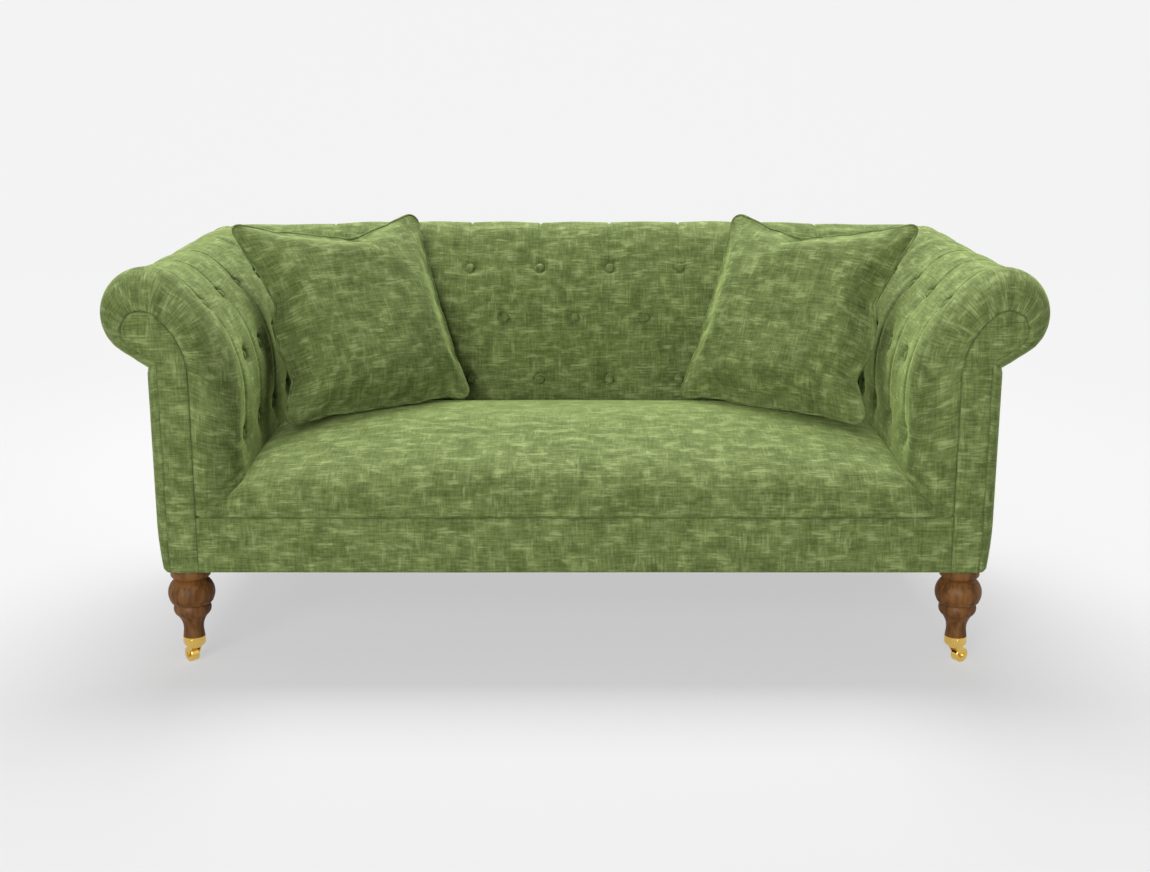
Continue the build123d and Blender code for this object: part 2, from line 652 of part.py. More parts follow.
for rail_y, post_y in ((front_inner_y, POST_BACK_Y), (rear_inner_y, REAR_POST_Y0)):
    corners = [(block_x, rail_y), (block_x - BLOCK_LONG, rail_y), (block_x, post_y)]
    blocks.append(flat_plate(corners, block_low, block_high) - dowel_holes)
save("corner_blocks", group(blocks + [left_of(piece) for piece in blocks]))
save("back_centre_post", box(-POST / 2, POST / 2, REAR_POST_Y0, REAR_POST_Y1, RAIL_TOP_Z, POST_TOP_Z))


def scroll_face(place):
    """Half-round section of a scroll rail with a straight skirt below it."""
    radius = ROLL_R - FRAME_IN
    edges = [
        Edge.make_three_point_arc(place(ROLL_U - radius, ROLL_Z),
                                  place(ROLL_U - radius * math.sqrt(0.5), ROLL_Z + radius * math.sqrt(0.5)),
                                  place(ROLL_U, ROLL_Z + radius)),
        Edge.make_three_point_arc(place(ROLL_U, ROLL_Z + radius),
                                  place(ROLL_U + radius * math.sqrt(0.5), ROLL_Z + radius * math.sqrt(0.5)),
                                  place(ROLL_U + radius, ROLL_Z)),
        Edge.make_line(place(ROLL_U + radius, ROLL_Z), place(ROLL_U, POST_TOP_Z)),
        Edge.make_line(place(ROLL_U, POST_TOP_Z), place(ROLL_U - radius, POST_TOP_Z)),
        Edge.make_line(place(ROLL_U - radius, POST_TOP_Z), place(ROLL_U - radius, ROLL_Z)),
    ]
    return Face(Wire(edges))


arm_scroll = extrude(scroll_face(on_arm(POST_FRONT_Y)), amount=RUN_END_Y - POST_FRONT_Y, dir=(0, 1, 0))
arm_scroll = arm_scroll - BEHIND_CORNER
back_scroll = extrude(scroll_face(on_back(-HALF_RUN)), amount=2 * HALF_RUN, dir=(1, 0, 0))
save("arm_scroll_rail_right", arm_scroll)
save("arm_scroll_rail_left", left_of(arm_scroll))
save("back_scroll_rail", back_scroll - BEFORE_CORNER - left_of(BEFORE_CORNER))

stuff_z = (STUFF_Z, STUFF_Z + STUFF_RAIL_H)
arm_stuff = box(STUFF_U, POST_IN - GAP, POST_FRONT_Y, REAR_POST_Y0 + POST / 2, *stuff_z)
back_stuff = box(-STUFF_U + GAP, STUFF_U - GAP, STUFF_U + BACK_SHIFT, REAR_POST_Y0 - GAP, *stuff_z)
save("arm_stuffing_rails", group([arm_stuff, left_of(arm_stuff)]))
save("back_stuffing_rail", back_stuff)

# Zigzag springs, their clips and the sheet over them
CLIP_Z = RAIL_TOP_Z + CLIP_H / 2
clip_front_y = front_inner_y - CLIP_INSET
clip_rear_y = rear_inner_y + RAIL_T / 2


def zigzag(x):
    """One flat zigzag spring of square wire from the front clip to the rear clip."""
    runs = 2 * round((clip_rear_y - clip_front_y) / SPRING_STEP / 2)
    step = (clip_rear_y - clip_front_y) / runs
    half = SPRING_RUN / 2
    edges = []
    for index in range(runs + 1):
        side = 1 if index % 2 == 0 else -1
        y = clip_front_y + index * step
        near = Vector(x - side * half, y, 0)
        far = Vector(x + side * half, y, 0)
        edges.append(Edge.make_line(near, far))
        if index < runs:
            mid = Vector(x + side * (half + step / 2), y + step / 2, 0)
            edges.append(Edge.make_three_point_arc(far, mid, Vector(x + side * half, y + step, 0)))
    return Pos(0, 0, CLIP_Z - SPRING_WIRE / 2) * extrude(trace(Wire(edges), SPRING_WIRE), SPRING_WIRE)


spring_columns = [(index - (SPRING_COUNT - 1) / 2) * SPRING_PITCH for index in range(SPRING_COUNT)]
save("zigzag_springs", group([zigzag(x) for x in spring_columns]))
clips = []
clip_z = (RAIL_TOP_Z, RAIL_TOP_Z + CLIP_H)
for x in spring_columns:
    for y in (clip_front_y, clip_rear_y):
        block = box(x - CLIP_W / 2, x + CLIP_W / 2, y - CLIP_D / 2, y + CLIP_D / 2, *clip_z)
        slot_half = SPRING_WIRE / 2 + CLIP_FIT
        slot_z = (CLIP_Z - slot_half, CLIP_Z + slot_half)
        slot = box(x - CLIP_W, x + CLIP_W, y - slot_half, y + slot_half, *slot_z)
        clips.append(block - slot)
save("spring_clips", group(clips))
sheet_z = RAIL_TOP_Z + CLIP_H + GAP
sheet_half = INNER_U + PAD_T
insulator_z = (sheet_z, PAD_BASE_Z - GAP)
save("seat_insulator", box(-sheet_half, sheet_half, front_inner_y - CLIP_INSET, INNER_Y, *insulator_z))


# Legs
def turned_leg():
    """Turned front leg: collar, large bulb with a ring line, small bulb, cove and tenon."""
    foot = CUP_RIM_Z + SEAT_FIT
    tall = FRAME_Z - foot

    def at(radius, height):
        return (LEG_R * radius, 0, foot + tall * height)

    tenon_r = CUP_R - CUP_WALL - SEAT_FIT
    tenon_z = CUP_FLOOR_Z + SEAT_FIT
    edges = [
        Edge.make_line((0, 0, FRAME_Z), (LEG_R * 0.6, 0, FRAME_Z)),
        Edge.make_line((LEG_R * 0.6, 0, FRAME_Z), (LEG_R * 0.6, 0, UNDERSIDE - GAP)),
        Edge.make_line((LEG_R * 0.6, 0, UNDERSIDE - GAP), (LEG_R * 0.86, 0, UNDERSIDE - GAP)),
        Edge.make_line((LEG_R * 0.86, 0, UNDERSIDE - GAP), at(0.86, 0.95)),
        Edge.make_line(at(0.86, 0.95), at(0.68, 0.905)),
        Edge.make_three_point_arc(at(0.68, 0.905), at(0.975, 0.72), at(0.985, 0.535)),
        Edge.make_line(at(0.985, 0.535), at(0.95, 0.523)),
        Edge.make_line(at(0.95, 0.523), at(0.97, 0.511)),
        Edge.make_three_point_arc(at(0.97, 0.511), at(0.905, 0.458), at(0.78, 0.41)),
        Edge.make_three_point_arc(at(0.78, 0.41), at(0.8, 0.31), at(0.64, 0.232)),
        Edge.make_line(at(0.64, 0.232), at(0.6, 0.205)),
        Edge.make_three_point_arc(at(0.6, 0.205), at(0.46, 0.125), at(0.435, 0.06)),
        Edge.make_line(at(0.435, 0.06), at(0.47, 0.0)),
        Edge.make_line(at(0.47, 0.0), (tenon_r, 0, foot)),
        Edge.make_line((tenon_r, 0, foot), (tenon_r, 0, tenon_z)),
        Edge.make_line((tenon_r, 0, tenon_z), (0, 0, tenon_z)),
        Edge.make_line((0, 0, tenon_z), (0, 0, FRAME_Z)),
    ]
    leg = revolve(Face(Wire(edges)), axis=Axis.Z)
    pin_space = rod(PIN_R + GAP, (0, 0, 0), (0, 0, CROWN_TOP_Z + PIN_RISE + 2.0))
    return leg - pin_space


def cup_screw_lines():
    """Start and end points of the two screws through the wall of a castor cup."""
    height = CUP_RIM_Z - 6.0
    lines = []
    for side in (-1, 1):
        inner = (0, side * (CUP_R - CUP_SCREW_LONG), height)
        outer = (0, side * (CUP_R + 0.5), height)
        lines.append((inner, outer))
    return lines


screw_shanks = [rod(CUP_SCREW_R, start, end) for start, end in cup_screw_lines()]
screw_spaces = [rod(CUP_SCREW_R + DOWEL_FIT, start, (end[0], end[1] * 1.1, end[2]))
                for start, end in cup_screw_lines()]
screw_heads = []
for start, end in cup_screw_lines():
    side = 1 if end[1] > 0 else -1
    head_start = (0, side * (CUP_R + GAP), end[2])
    screw_heads.append(rod(CUP_SCREW_HEAD_R, head_start, (0, side * (CUP_R + GAP + 1.4), end[2])))
cup_screws = [shank + head for shank, head in zip(screw_shanks, screw_heads)]

front_leg = Pos(LEG_X, FRONT_LEG_Y, 0) * (turned_leg() - screw_spaces) - bolt_holes
save("front_leg_right", front_leg)
save("front_leg_left", left_of(front_leg))

foot_wire = Rectangle(REAR_LEG_FOOT, REAR_LEG_FOOT)
head_wire = Rectangle(REAR_LEG_TOP, REAR_LEG_TOP)
rear_leg = loft([Pos(LEG_X, REAR_LEG_Y + REAR_LEG_RAKE, 0) * foot_wire,
                 Pos(LEG_X, REAR_LEG_Y, FRAME_Z) * head_wire])
rear_leg = rear_leg - bolt_holes
save("rear_leg_right", rear_leg)
save("rear_leg_left", left_of(rear_leg))


# Castors, built about the upright pin with the wheel trailing towards +Y
def castor_cup():
    """Brass cup that holds the end of the leg, with a bored boss for the pin."""
    edges = [
        Edge.make_line((0, 0, CUP_Z), (CUP_FOOT_R, 0, CUP_Z)),
        Edge.make_line((CUP_FOOT_R, 0, CUP_Z), (CUP_R, 0, CUP_Z + CUP_FLOOR)),
        Edge.make_line((CUP_R, 0, CUP_Z + CUP_FLOOR), (CUP_R, 0, CUP_RIM_Z)),
        Edge.make_line((CUP_R, 0, CUP_RIM_Z), (CUP_R - CUP_WALL, 0, CUP_RIM_Z)),
        Edge.make_line((CUP_R - CUP_WALL, 0, CUP_RIM_Z), (CUP_R - CUP_WALL, 0, CUP_FLOOR_Z)),
        Edge.make_line((CUP_R - CUP_WALL, 0, CUP_FLOOR_Z), (0, 0, CUP_FLOOR_Z)),
        Edge.make_line((0, 0, CUP_FLOOR_Z), (0, 0, CUP_Z)),
    ]
    cup = revolve(Face(Wire(edges)), axis=Axis.Z)
    boss = rod(CUP_BOSS_R, (0, 0, CUP_Z - CUP_BOSS_H), (0, 0, CUP_Z + CUP_FLOOR / 2))
    bore = rod(PIN_R + RUNNING_FIT, (0, 0, 0), (0, 0, CUP_RIM_Z))
    return cup + boss - bore - screw_spaces


def castor_fork():
    """Fork with two cheeks, a round crown and the upright pin."""
    inner = WHEEL_W / 2 + CHEEK_GAP
    eye_r = AXLE_R + 4.0
    crown_mid = CROWN_Z + CROWN_T / 2
    profile = [(-CROWN_R * 0.6, crown_mid), (CROWN_R * 0.75, crown_mid),
               (TRAIL + eye_r * 0.96, WHEEL_R + eye_r * 0.28), (TRAIL - eye_r * 0.8, WHEEL_R - eye_r * 0.6)]
    pieces = []
    for side in (-1, 1):
        x0 = inner if side > 0 else -inner - CHEEK_T
        corners = [Vector(x0, y, z) for y, z in profile]
        web = extrude(Face(Wire.make_polygon(corners, close=True)), amount=CHEEK_T, dir=(1, 0, 0))
        eye = rod(eye_r, (x0, TRAIL, WHEEL_R), (x0 + CHEEK_T, TRAIL, WHEEL_R))
        pieces.append(web + eye)
    crown = rod(CROWN_R, (0, 0, CROWN_Z), (0, 0, CROWN_TOP_Z))
    pin = rod(PIN_R, (0, 0, CROWN_TOP_Z - CROWN_T / 2), (0, 0, CROWN_TOP_Z + PIN_RISE))
    eye_bore = rod(AXLE_R + RUNNING_FIT, (-CUP_R, TRAIL, WHEEL_R), (CUP_R, TRAIL, WHEEL_R))
    return crown + pin + pieces[0] + pieces[1] - eye_bore


def castor_axle():
    """Axle pin with a rivet head outside each cheek."""
    reach = WHEEL_W / 2 + CHEEK_GAP + CHEEK_T + GAP
    pin = rod(AXLE_R, (-reach - RIVET_H, TRAIL, WHEEL_R), (reach + RIVET_H, TRAIL, WHEEL_R))
    left_head = rod(RIVET_R, (-reach - RIVET_H, TRAIL, WHEEL_R), (-reach, TRAIL, WHEEL_R))
    right_head = rod(RIVET_R, (reach, TRAIL, WHEEL_R), (reach + RIVET_H, TRAIL, WHEEL_R))
    return pin + left_head + right_head


def castor_wheel():
    """Solid wheel with rounded rims, bored for the axle."""
    disc = rod(WHEEL_R, (-WHEEL_W / 2, TRAIL, WHEEL_R), (WHEEL_W / 2, TRAIL, WHEEL_R))
    disc = fillet(disc.edges(), 2.5)
    return disc - rod(AXLE_R + RUNNING_FIT, (-WHEEL_W, TRAIL, WHEEL_R), (WHEEL_W, TRAIL, WHEEL_R))


castor_spots = {"left": Location((-LEG_X, FRONT_LEG_Y, 0), (0, 0, LEFT_TURN)),
                "right": Location((LEG_X, FRONT_LEG_Y, 0), (0, 0, RIGHT_TURN))}
cup_spots = [Pos(side * LEG_X, FRONT_LEG_Y, 0) for side in (-1, 1)]
save("castor_cups", group([spot * castor_cup() for spot in cup_spots]))
save("castor_cup_screws", group([spot * screw for spot in cup_spots for screw in cup_screws]))
for side, spot in castor_spots.items():
    save(f"castor_fork_{side}", spot * castor_fork())
    save(f"castor_axle_{side}", spot * castor_axle())
    save(f"castor_wheel_{side}", spot * castor_wheel())


# Scatter cushions, built flat with a diagonal along X and the thickness along Z
def side_circle(half_diagonal):
    """Centre and radius of the arc that draws one side of the cushion in."""
    half_side = half_diagonal / math.sqrt(2)
    radius = (half_side ** 2 + CUSHION_DRAW ** 2) / (2 * CUSHION_DRAW)
    middle = half_diagonal / 2 + (radius - CUSHION_DRAW) / math.sqrt(2)
    return middle, radius


def cushion_body(amount):
    """Cushion with a crown on both faces, drawn-in sides and blunt corners, set in by amount."""
    half = CUSHION_SIDE / math.sqrt(2) - amount * math.sqrt(2)
    thick = CUSHION_THICK / 2 - amount
    seam = max(CUSHION_SEAM - amount * 0.7, 0.8)
    centre, radius = side_circle(half)

    def side_at(s):
        return centre - math.sqrt(radius ** 2 - (s - centre) ** 2)

    def face_at(s):
        share = s / half
        wide = side_at(s)
        crown = seam + 1.0 + (thick - seam - 1.0) * (1 - share ** 2) ** 0.85
        edges = [
            Edge.make_line((s, -wide, -seam), (s, -wide, seam)),
            Edge.make_three_point_arc((s, -wide, seam), (s, 0, crown), (s, wide, seam)),
            Edge.make_line((s, wide, seam), (s, wide, -seam)),
            Edge.make_three_point_arc((s, wide, -seam), (s, 0, -crown), (s, -wide, -seam)),
        ]
        return Face(Wire(edges))

    last = half - CUSHION_TIP
    first = side_at(last)
    half_body = loft([face_at(first + share * (last - first)) for share in CUSHION_STATIONS])
    middle = extrude(face_at(first), amount=-2 * first, dir=(1, 0, 0))
    return half_body + middle + mirror(half_body, about=Plane.YZ)


def cushion_piping():
    """Round piping all round the seam of the cushion."""
    half = CUSHION_SIDE / math.sqrt(2) + (PIPING_R + GAP) * math.sqrt(2)
    centre, radius = side_circle(half)
    near = centre - radius / math.sqrt(2)
    corners = [(half, 0), (0, half), (-half, 0), (0, -half)]
    middles = [(near, near), (-near, near), (-near, -near), (near, -near)]
    edges = []
    for index, middle in enumerate(middles):
        edges.append(Edge.make_three_point_arc(corners[index], middle, corners[(index + 1) % 4]))
    outline = Face(Wire(edges))
    outline = outline.fillet_2d(PIPING_CORNER_R, outline.vertices())
    path = outline.outer_wire()
    start = Plane(origin=path @ 0, z_dir=path % 0)
    return sweep(start * Circle(PIPING_R), path=path)


cushion_outside = cushion_body(0)
cushion_cover = cushion_outside - cushion_body(CUSHION_WALL)
cushion_pad = cushion_body(CUSHION_WALL + GAP)
piping = cushion_piping()

upright = Rotation(90, 0, 0) * Rotation(0, 0, 45)
cushion_centre = Pos(INNER_U - CUSHION_FROM_ARM, INNER_Y - CUSHION_FROM_BACK, SEAT_CROWN_Z + CUSHION_DROP_FROM)
stand = cushion_centre * Rotation(0, 0, -CUSHION_YAW) * Rotation(-CUSHION_LEAN, 0, 0)
cushion_spot = stand * upright
lowered = Vector(0, 0, 0)
resting = group([cushion_spot * cushion_outside, cushion_spot * piping])
for attempt in range(12):
    clear = resting.moved(Location(lowered)).distance_to(seat_outside)
    if clear - REST_GAP < 0.1:
        break
    lowered = lowered - Vector(0, 0, clear - REST_GAP)
cushion_spot = Location(lowered) * cushion_spot
for name, shape in {"cover": cushion_cover, "filling": cushion_pad, "piping": piping}.items():
    placed = cushion_spot * shape
    save(f"scatter_{name}_right", placed)
    save(f"scatter_{name}_left", left_of(placed))
print("cushion lowered by", round(-lowered.Z, 2))
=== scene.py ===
import json
import math
from collections import namedtuple

import bpy
import numpy as np
from mathutils import Matrix, Vector


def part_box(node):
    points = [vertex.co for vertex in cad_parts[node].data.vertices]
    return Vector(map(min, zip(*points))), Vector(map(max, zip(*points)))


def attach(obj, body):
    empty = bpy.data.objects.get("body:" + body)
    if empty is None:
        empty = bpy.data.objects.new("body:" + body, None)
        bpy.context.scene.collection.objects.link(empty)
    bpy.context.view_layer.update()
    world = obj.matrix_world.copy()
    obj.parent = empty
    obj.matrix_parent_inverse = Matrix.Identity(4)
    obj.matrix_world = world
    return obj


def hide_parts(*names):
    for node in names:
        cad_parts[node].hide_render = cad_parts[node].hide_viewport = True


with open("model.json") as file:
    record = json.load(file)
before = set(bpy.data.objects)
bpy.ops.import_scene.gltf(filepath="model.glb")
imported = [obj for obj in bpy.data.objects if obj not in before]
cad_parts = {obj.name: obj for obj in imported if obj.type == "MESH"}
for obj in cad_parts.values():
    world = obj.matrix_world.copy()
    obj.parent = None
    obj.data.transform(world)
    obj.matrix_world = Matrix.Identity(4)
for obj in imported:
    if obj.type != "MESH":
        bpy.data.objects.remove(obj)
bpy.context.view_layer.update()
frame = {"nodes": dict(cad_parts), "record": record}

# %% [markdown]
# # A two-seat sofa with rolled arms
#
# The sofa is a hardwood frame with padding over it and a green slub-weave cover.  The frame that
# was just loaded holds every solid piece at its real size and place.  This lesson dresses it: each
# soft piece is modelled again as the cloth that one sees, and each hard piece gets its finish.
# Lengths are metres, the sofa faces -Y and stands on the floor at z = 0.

scene = bpy.context.scene
scene.view_settings.view_transform = "Standard"

# %% [markdown]
# ## Sizes
#
# A dressed piece lies on the solid that it stands for, so the main sizes are read from the frame.
# The radii and steps that a box can't tell are written here as real sizes.  Where padding bulges or
# sinks, as it does on the arms and the seat, its shift from the solid is a named size of its own.

# %% Overall sizes
HALF_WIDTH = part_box("arm_cover_right")[1].x
TOP_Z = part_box("arm_cover_right")[1].z
REAR_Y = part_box("back_cover")[1].y
FRONT_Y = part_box("front_border")[0].y
UNDER_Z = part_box("front_border")[0].z
SEAM_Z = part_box("front_border")[1].z
BORDER_LAP = 0.0022
BORDER_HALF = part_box("front_border")[1].x + BORDER_LAP
COVER_T = 0.0025
print("half width", round(HALF_WIDTH, 3), "top", round(TOP_Z, 3), "seam", round(SEAM_Z, 3))

# %% The rolled section, u measured outwards from the middle of the sofa
ROLL_R = 0.086
ROLL_U = HALF_WIDTH - ROLL_R
ROLL_Z = TOP_Z - ROLL_R
INNER_U = ROLL_U - 0.152
INNER_Z = ROLL_Z - 0.170
SIDE_U = ROLL_U + 0.006
SIDE_TUCK = 0.016
BEND_RISE = 0.095
BEND_Z = UNDER_Z + BEND_RISE
LEAVE = math.radians(56.5)
FOOT_Z = SEAM_Z + 0.0006
BACK_SHIFT = REAR_Y - HALF_WIDTH
INNER_Y = INNER_U + BACK_SHIFT
NOSE_R = 0.088
print("roll radius", ROLL_R, "inner face", round(INNER_U, 3), "from the middle")

# %% The flat facing at the front of each arm
FACE_R = 0.038
FACE_U = ROLL_U + 0.011
FACE_Z = ROLL_Z - 0.035
FACE_INNER_U = INNER_U + 0.081
FACE_TURN_Z = FACE_Z - 0.090
FACE_SIDE_U = SIDE_U - 0.020
FACE_TUCK = 0.003


def bend_radius(tuck):
    """Radius of the arc that draws the outer side in by tuck at the bottom."""
    return (BEND_RISE ** 2 + tuck ** 2) / (2 * tuck)


ROLLED = np.array([ROLL_U, ROLL_Z, ROLL_R, INNER_U, INNER_Z, SIDE_U, bend_radius(SIDE_TUCK)])
FACED = np.array([FACE_U, FACE_Z, FACE_R, FACE_INNER_U, FACE_TURN_Z, FACE_SIDE_U, bend_radius(FACE_TUCK)])
# The arms' padding lies further out and lower than the solid, and lowest behind the front.
ARM_OUT = 0.020
ARM_DROP = 0.010
ARM_SIDE_OUT = 0.014
RUN_DROP = 0.008
ARM_SHIFT = np.array([ARM_OUT, -ARM_DROP, 0, 0, -ARM_DROP / 2, ARM_SIDE_OUT, 0])
RUN_SHIFT = np.array([0, -RUN_DROP, 0, 0, -RUN_DROP / 2, 0, 0])
print("facing", round(FACE_INNER_U, 3), "to", round(FACE_SIDE_U, 3))

# %% [markdown]
# ## Camera
#
# The camera comes first.  It stands in front of the middle of the sofa, a little above its top,
# and looks slightly down.

# %% Camera
IMAGE_WIDTH = 1150
FOCAL_PX = 1560
SENSOR = 36.0
CAMERA_PLACE = (0.0, -3.333, 1.169)
CAMERA_DOWN = math.radians(13.41)
camera_data = bpy.data.cameras.new("camera")
camera_data.sensor_width = SENSOR
camera_data.lens = FOCAL_PX / IMAGE_WIDTH * SENSOR
camera = bpy.data.objects.new("camera", camera_data)
camera.location = CAMERA_PLACE
camera.rotation_euler = (math.pi / 2 - CAMERA_DOWN, 0, 0)
scene.collection.objects.link(camera)
scene.camera = camera
print("lens", round(camera_data.lens, 2))

# %% [markdown]
# ## Writing shader maths as Python
#
# A material is a graph of nodes.  Wiring the graph by hand hides what it does, so a `Wire` stands
# for one socket that carries a number, and Python's own operators add the Math nodes.  A `Finish`
# is one material: its `node` method adds any other node.

# %% Wire and Finish
def feed(tree, socket, value):
    """Links a wire to a socket, or sets a plain value on it."""
    if isinstance(value, Wire):
        tree.links.new(value.socket, socket)
    else:
        socket.default_value = value


class Wire:
    """A number carried by a socket, with Python's operators."""

    def __init__(self, tree, socket):
        self.tree = tree
        self.socket = socket

    def math(self, operation, first, second=0.0):
        node = self.tree.nodes.new("ShaderNodeMath")
        node.operation = operation
        feed(self.tree, node.inputs[0], first)
        feed(self.tree, node.inputs[1], second)
        return Wire(self.tree, node.outputs[0])

    def __add__(self, other):
        return self.math("ADD", self, other)

    def __radd__(self, other):
        return self.math("ADD", other, self)

    def __sub__(self, other):
        return self.math("SUBTRACT", self, other)

    def __rsub__(self, other):
        return self.math("SUBTRACT", other, self)

    def __mul__(self, other):
        return self.math("MULTIPLY", self, other)

    def __rmul__(self, other):
        return self.math("MULTIPLY", other, self)


class Finish:
    """One material, with a Principled shader that set() fills in."""

    def __init__(self, name):
        self.material = bpy.data.materials.new(name)
        self.material.use_nodes = True
        self.tree = self.material.node_tree
        self.shader = self.tree.nodes["Principled BSDF"]

    def node(self, kind, settings=None, sockets=None, output=0):
        """Adds a node, sets it up and returns one of its outputs."""
        node = self.tree.nodes.new(kind)
        for key, value in (settings or {}).items():
            setattr(node, key, value)
        for key, value in (sockets or {}).items():
            feed(self.tree, node.inputs[key], value)
        return Wire(self.tree, node.outputs[output])

    def stretched_noise(self, vector, scale, detail=2.0, roughness=0.5):
        """Noise drawn out by a different amount along each axis."""
        mapped = self.node("ShaderNodeMapping", sockets={"Vector": vector, "Scale": scale})
        sockets = {"Vector": mapped, "Scale": 1.0, "Detail": detail, "Roughness": roughness}
        return self.node("ShaderNodeTexNoise", None, sockets)

    def steps(self, value, low, high):
        """0 below low, 1 above high, and a smooth ramp between."""
        sockets = {"Value": value, "From Min": low, "From Max": high}
        return self.node("ShaderNodeMapRange", {"interpolation_type": "SMOOTHSTEP"}, sockets)

    def mix(self, factor, first, second):
        """A colour part of the way from first to second."""
        sockets = {0: factor, 6: first, 7: second}
        return self.node("ShaderNodeMix", {"data_type": "RGBA"}, sockets, output=2)

    def bump(self, height, distance, strength):
        """A surface normal tilted by a height from 0 to 1 that stands for a distance in metres."""
        sockets = {"Height": height, "Distance": distance, "Strength": strength}
        return self.node("ShaderNodeBump", None, sockets)

    def set(self, **sockets):
        """Links or sets the shader's own sockets, named with underscores for spaces."""
        for key, value in sockets.items():
            feed(self.tree, self.shader.inputs[key.replace("_", " ")], value)
        return self.material


print("shader tools ready")

# %% [markdown]
# ## Floor, wall and light
#
# The sofa stands on a sheet of pale paper that sweeps up into a wall, so no horizon shows.  A soft
# lamp above and behind brightens the seat and the rolls, and a large one far in front fills the
# rest.  The paper and the world are a plain pale tone where the camera or a mirror sees them, so
# the background is light while the lamps stay at a level that keeps the cloth's own colour.

# %% Floor, wall and light
FLOOR_GREY = 0.52
BACKDROP = (0.91, 0.91, 0.913, 1)
NEAR_SHARE = 0.56
FAR_SHARE = 0.97
NEAR_REACH = 1.2
FAR_REACH = 4.0
SWEEP_START_Y = 6.0
SWEEP_R = 1.6
WALL_TOP = 9.0
STAGE_HALF = 40.0
WORLD_STRENGTH = 0.20
STAGE_FRONT_Y = -40.0
SWEEP_STEPS = 24
SOFA_MIDDLE = (0.0, 0.0, 0.45)


def make_stage():
    """A floor that sweeps up into a wall, both of pale paper that keeps the sofa's shadow."""
    bpy.ops.object.select_all(action="DESELECT")
    bpy.ops.mesh.primitive_plane_add(size=1)
    stage = bpy.context.object
    stage.name = "floor_and_wall"
    line = [(STAGE_FRONT_Y, 0.0)]
    for step in range(SWEEP_STEPS + 1):
        angle = math.pi / 2 * step / SWEEP_STEPS
        line.append((SWEEP_START_Y + SWEEP_R * math.sin(angle), SWEEP_R * (1 - math.cos(angle))))
    line.append((SWEEP_START_Y + SWEEP_R, WALL_TOP))
    points = [(x, y, z) for y, z in line for x in (-STAGE_HALF, STAGE_HALF)]
    faces = [(2 * i, 2 * i + 1, 2 * i + 3, 2 * i + 2) for i in range(len(line) - 1)]
    stage.data.clear_geometry()
    stage.data.from_pydata(points, [], faces)
    bpy.ops.object.shade_smooth()
    stage.data.materials.append(studio_paper())


def seen_rays(tree):
    """1 for a ray from the camera, a mirror or glass, and 0 for any other."""
    path = tree.nodes.new("ShaderNodeLightPath")
    names = ("Is Camera Ray", "Is Glossy Ray", "Is Transmission Ray")
    seen, mirrored, through = [Wire(tree, path.outputs[name]) for name in names]
    return seen.math("MINIMUM", seen + mirrored + through, 1.0)


def studio_paper():
    """Matt paper that is partly a plain pale tone where the camera or a mirror sees it."""
    finish = Finish("studio_paper")
    finish.set(Base_Color=(FLOOR_GREY, FLOOR_GREY, FLOOR_GREY, 1), Roughness=0.9)
    place = finish.node("ShaderNodeTexCoord", output=3)
    away = finish.node("ShaderNodeVectorMath", {"operation": "LENGTH"}, {0: place}, output=1)
    tone = NEAR_SHARE + (FAR_SHARE - NEAR_SHARE) * finish.steps(away, NEAR_REACH, FAR_REACH)
    share = seen_rays(finish.tree) * tone
    glow = finish.node("ShaderNodeEmission", None, {"Color": BACKDROP, "Strength": 1.0})
    lit = Wire(finish.tree, finish.shader.outputs[0])
    both = finish.node("ShaderNodeMixShader", None, {0: share, 1: lit, 2: glow})
    finish.tree.links.new(both.socket, finish.tree.nodes["Material Output"].inputs["Surface"])
    return finish.material


def add_lamp(name, place, aim, size, power):
    """A square soft lamp that points at aim."""
    data = bpy.data.lights.new(name, "AREA")
    data.size = size
    data.energy = power
    lamp = bpy.data.objects.new(name, data)
    lamp.location = place
    lamp.visible_camera = False
    lamp.rotation_euler = (Vector(aim) - Vector(place)).to_track_quat("-Z", "Y").to_euler()
    scene.collection.objects.link(lamp)


def make_world():
    """Soft even light, and a plain pale tone where a camera or mirror sees past the stage."""
    world = bpy.data.worlds.new("studio")
    world.use_nodes = True
    tree = world.node_tree
    light = tree.nodes["Background"]
    light.inputs["Color"].default_value = (1.0, 1.0, 1.0, 1)
    light.inputs["Strength"].default_value = WORLD_STRENGTH
    pale = tree.nodes.new("ShaderNodeBackground")
    pale.inputs["Color"].default_value = BACKDROP
    pale.inputs["Strength"].default_value = 1.0
    both = tree.nodes.new("ShaderNodeMixShader")
    tree.links.new(seen_rays(tree).socket, both.inputs[0])
    tree.links.new(light.outputs[0], both.inputs[1])
    tree.links.new(pale.outputs[0], both.inputs[2])
    tree.links.new(both.outputs[0], tree.nodes["World Output"].inputs["Surface"])
    scene.world = world


make_stage()
add_lamp("top_lamp", (0.0, 2.3, 5.0), SOFA_MIDDLE, 3.6, 520.0)
add_lamp("front_lamp", (-4.0, -13.0, 4.4), SOFA_MIDDLE, 7.0, 1560.0)
make_world()
print("stage and lamps made")

# %% [markdown]
# ## The cover cloth
#
# The cloth is a linen-like slub weave with a soft pile.  Two sets of streaks cross each other, one
# along the weft and one along the warp, and pale worn-looking patches, some wide and some tall, lie
# along the streaks.  Noise that is drawn out along one axis gives such streaks without a picture.
# The pattern reads the piece's own UV map, in metres, so it follows the cloth round every curve.

# %% Cover cloth
WEAVE_MAP = "weave"
CLOTH_DARK = (0.060, 0.085, 0.020, 1)
CLOTH_MID = (0.161, 0.208, 0.066, 1)
CLOTH_PALE = (0.298, 0.362, 0.146, 1)
CLOTH_SHEEN = (0.76, 1.0, 0.30, 1)
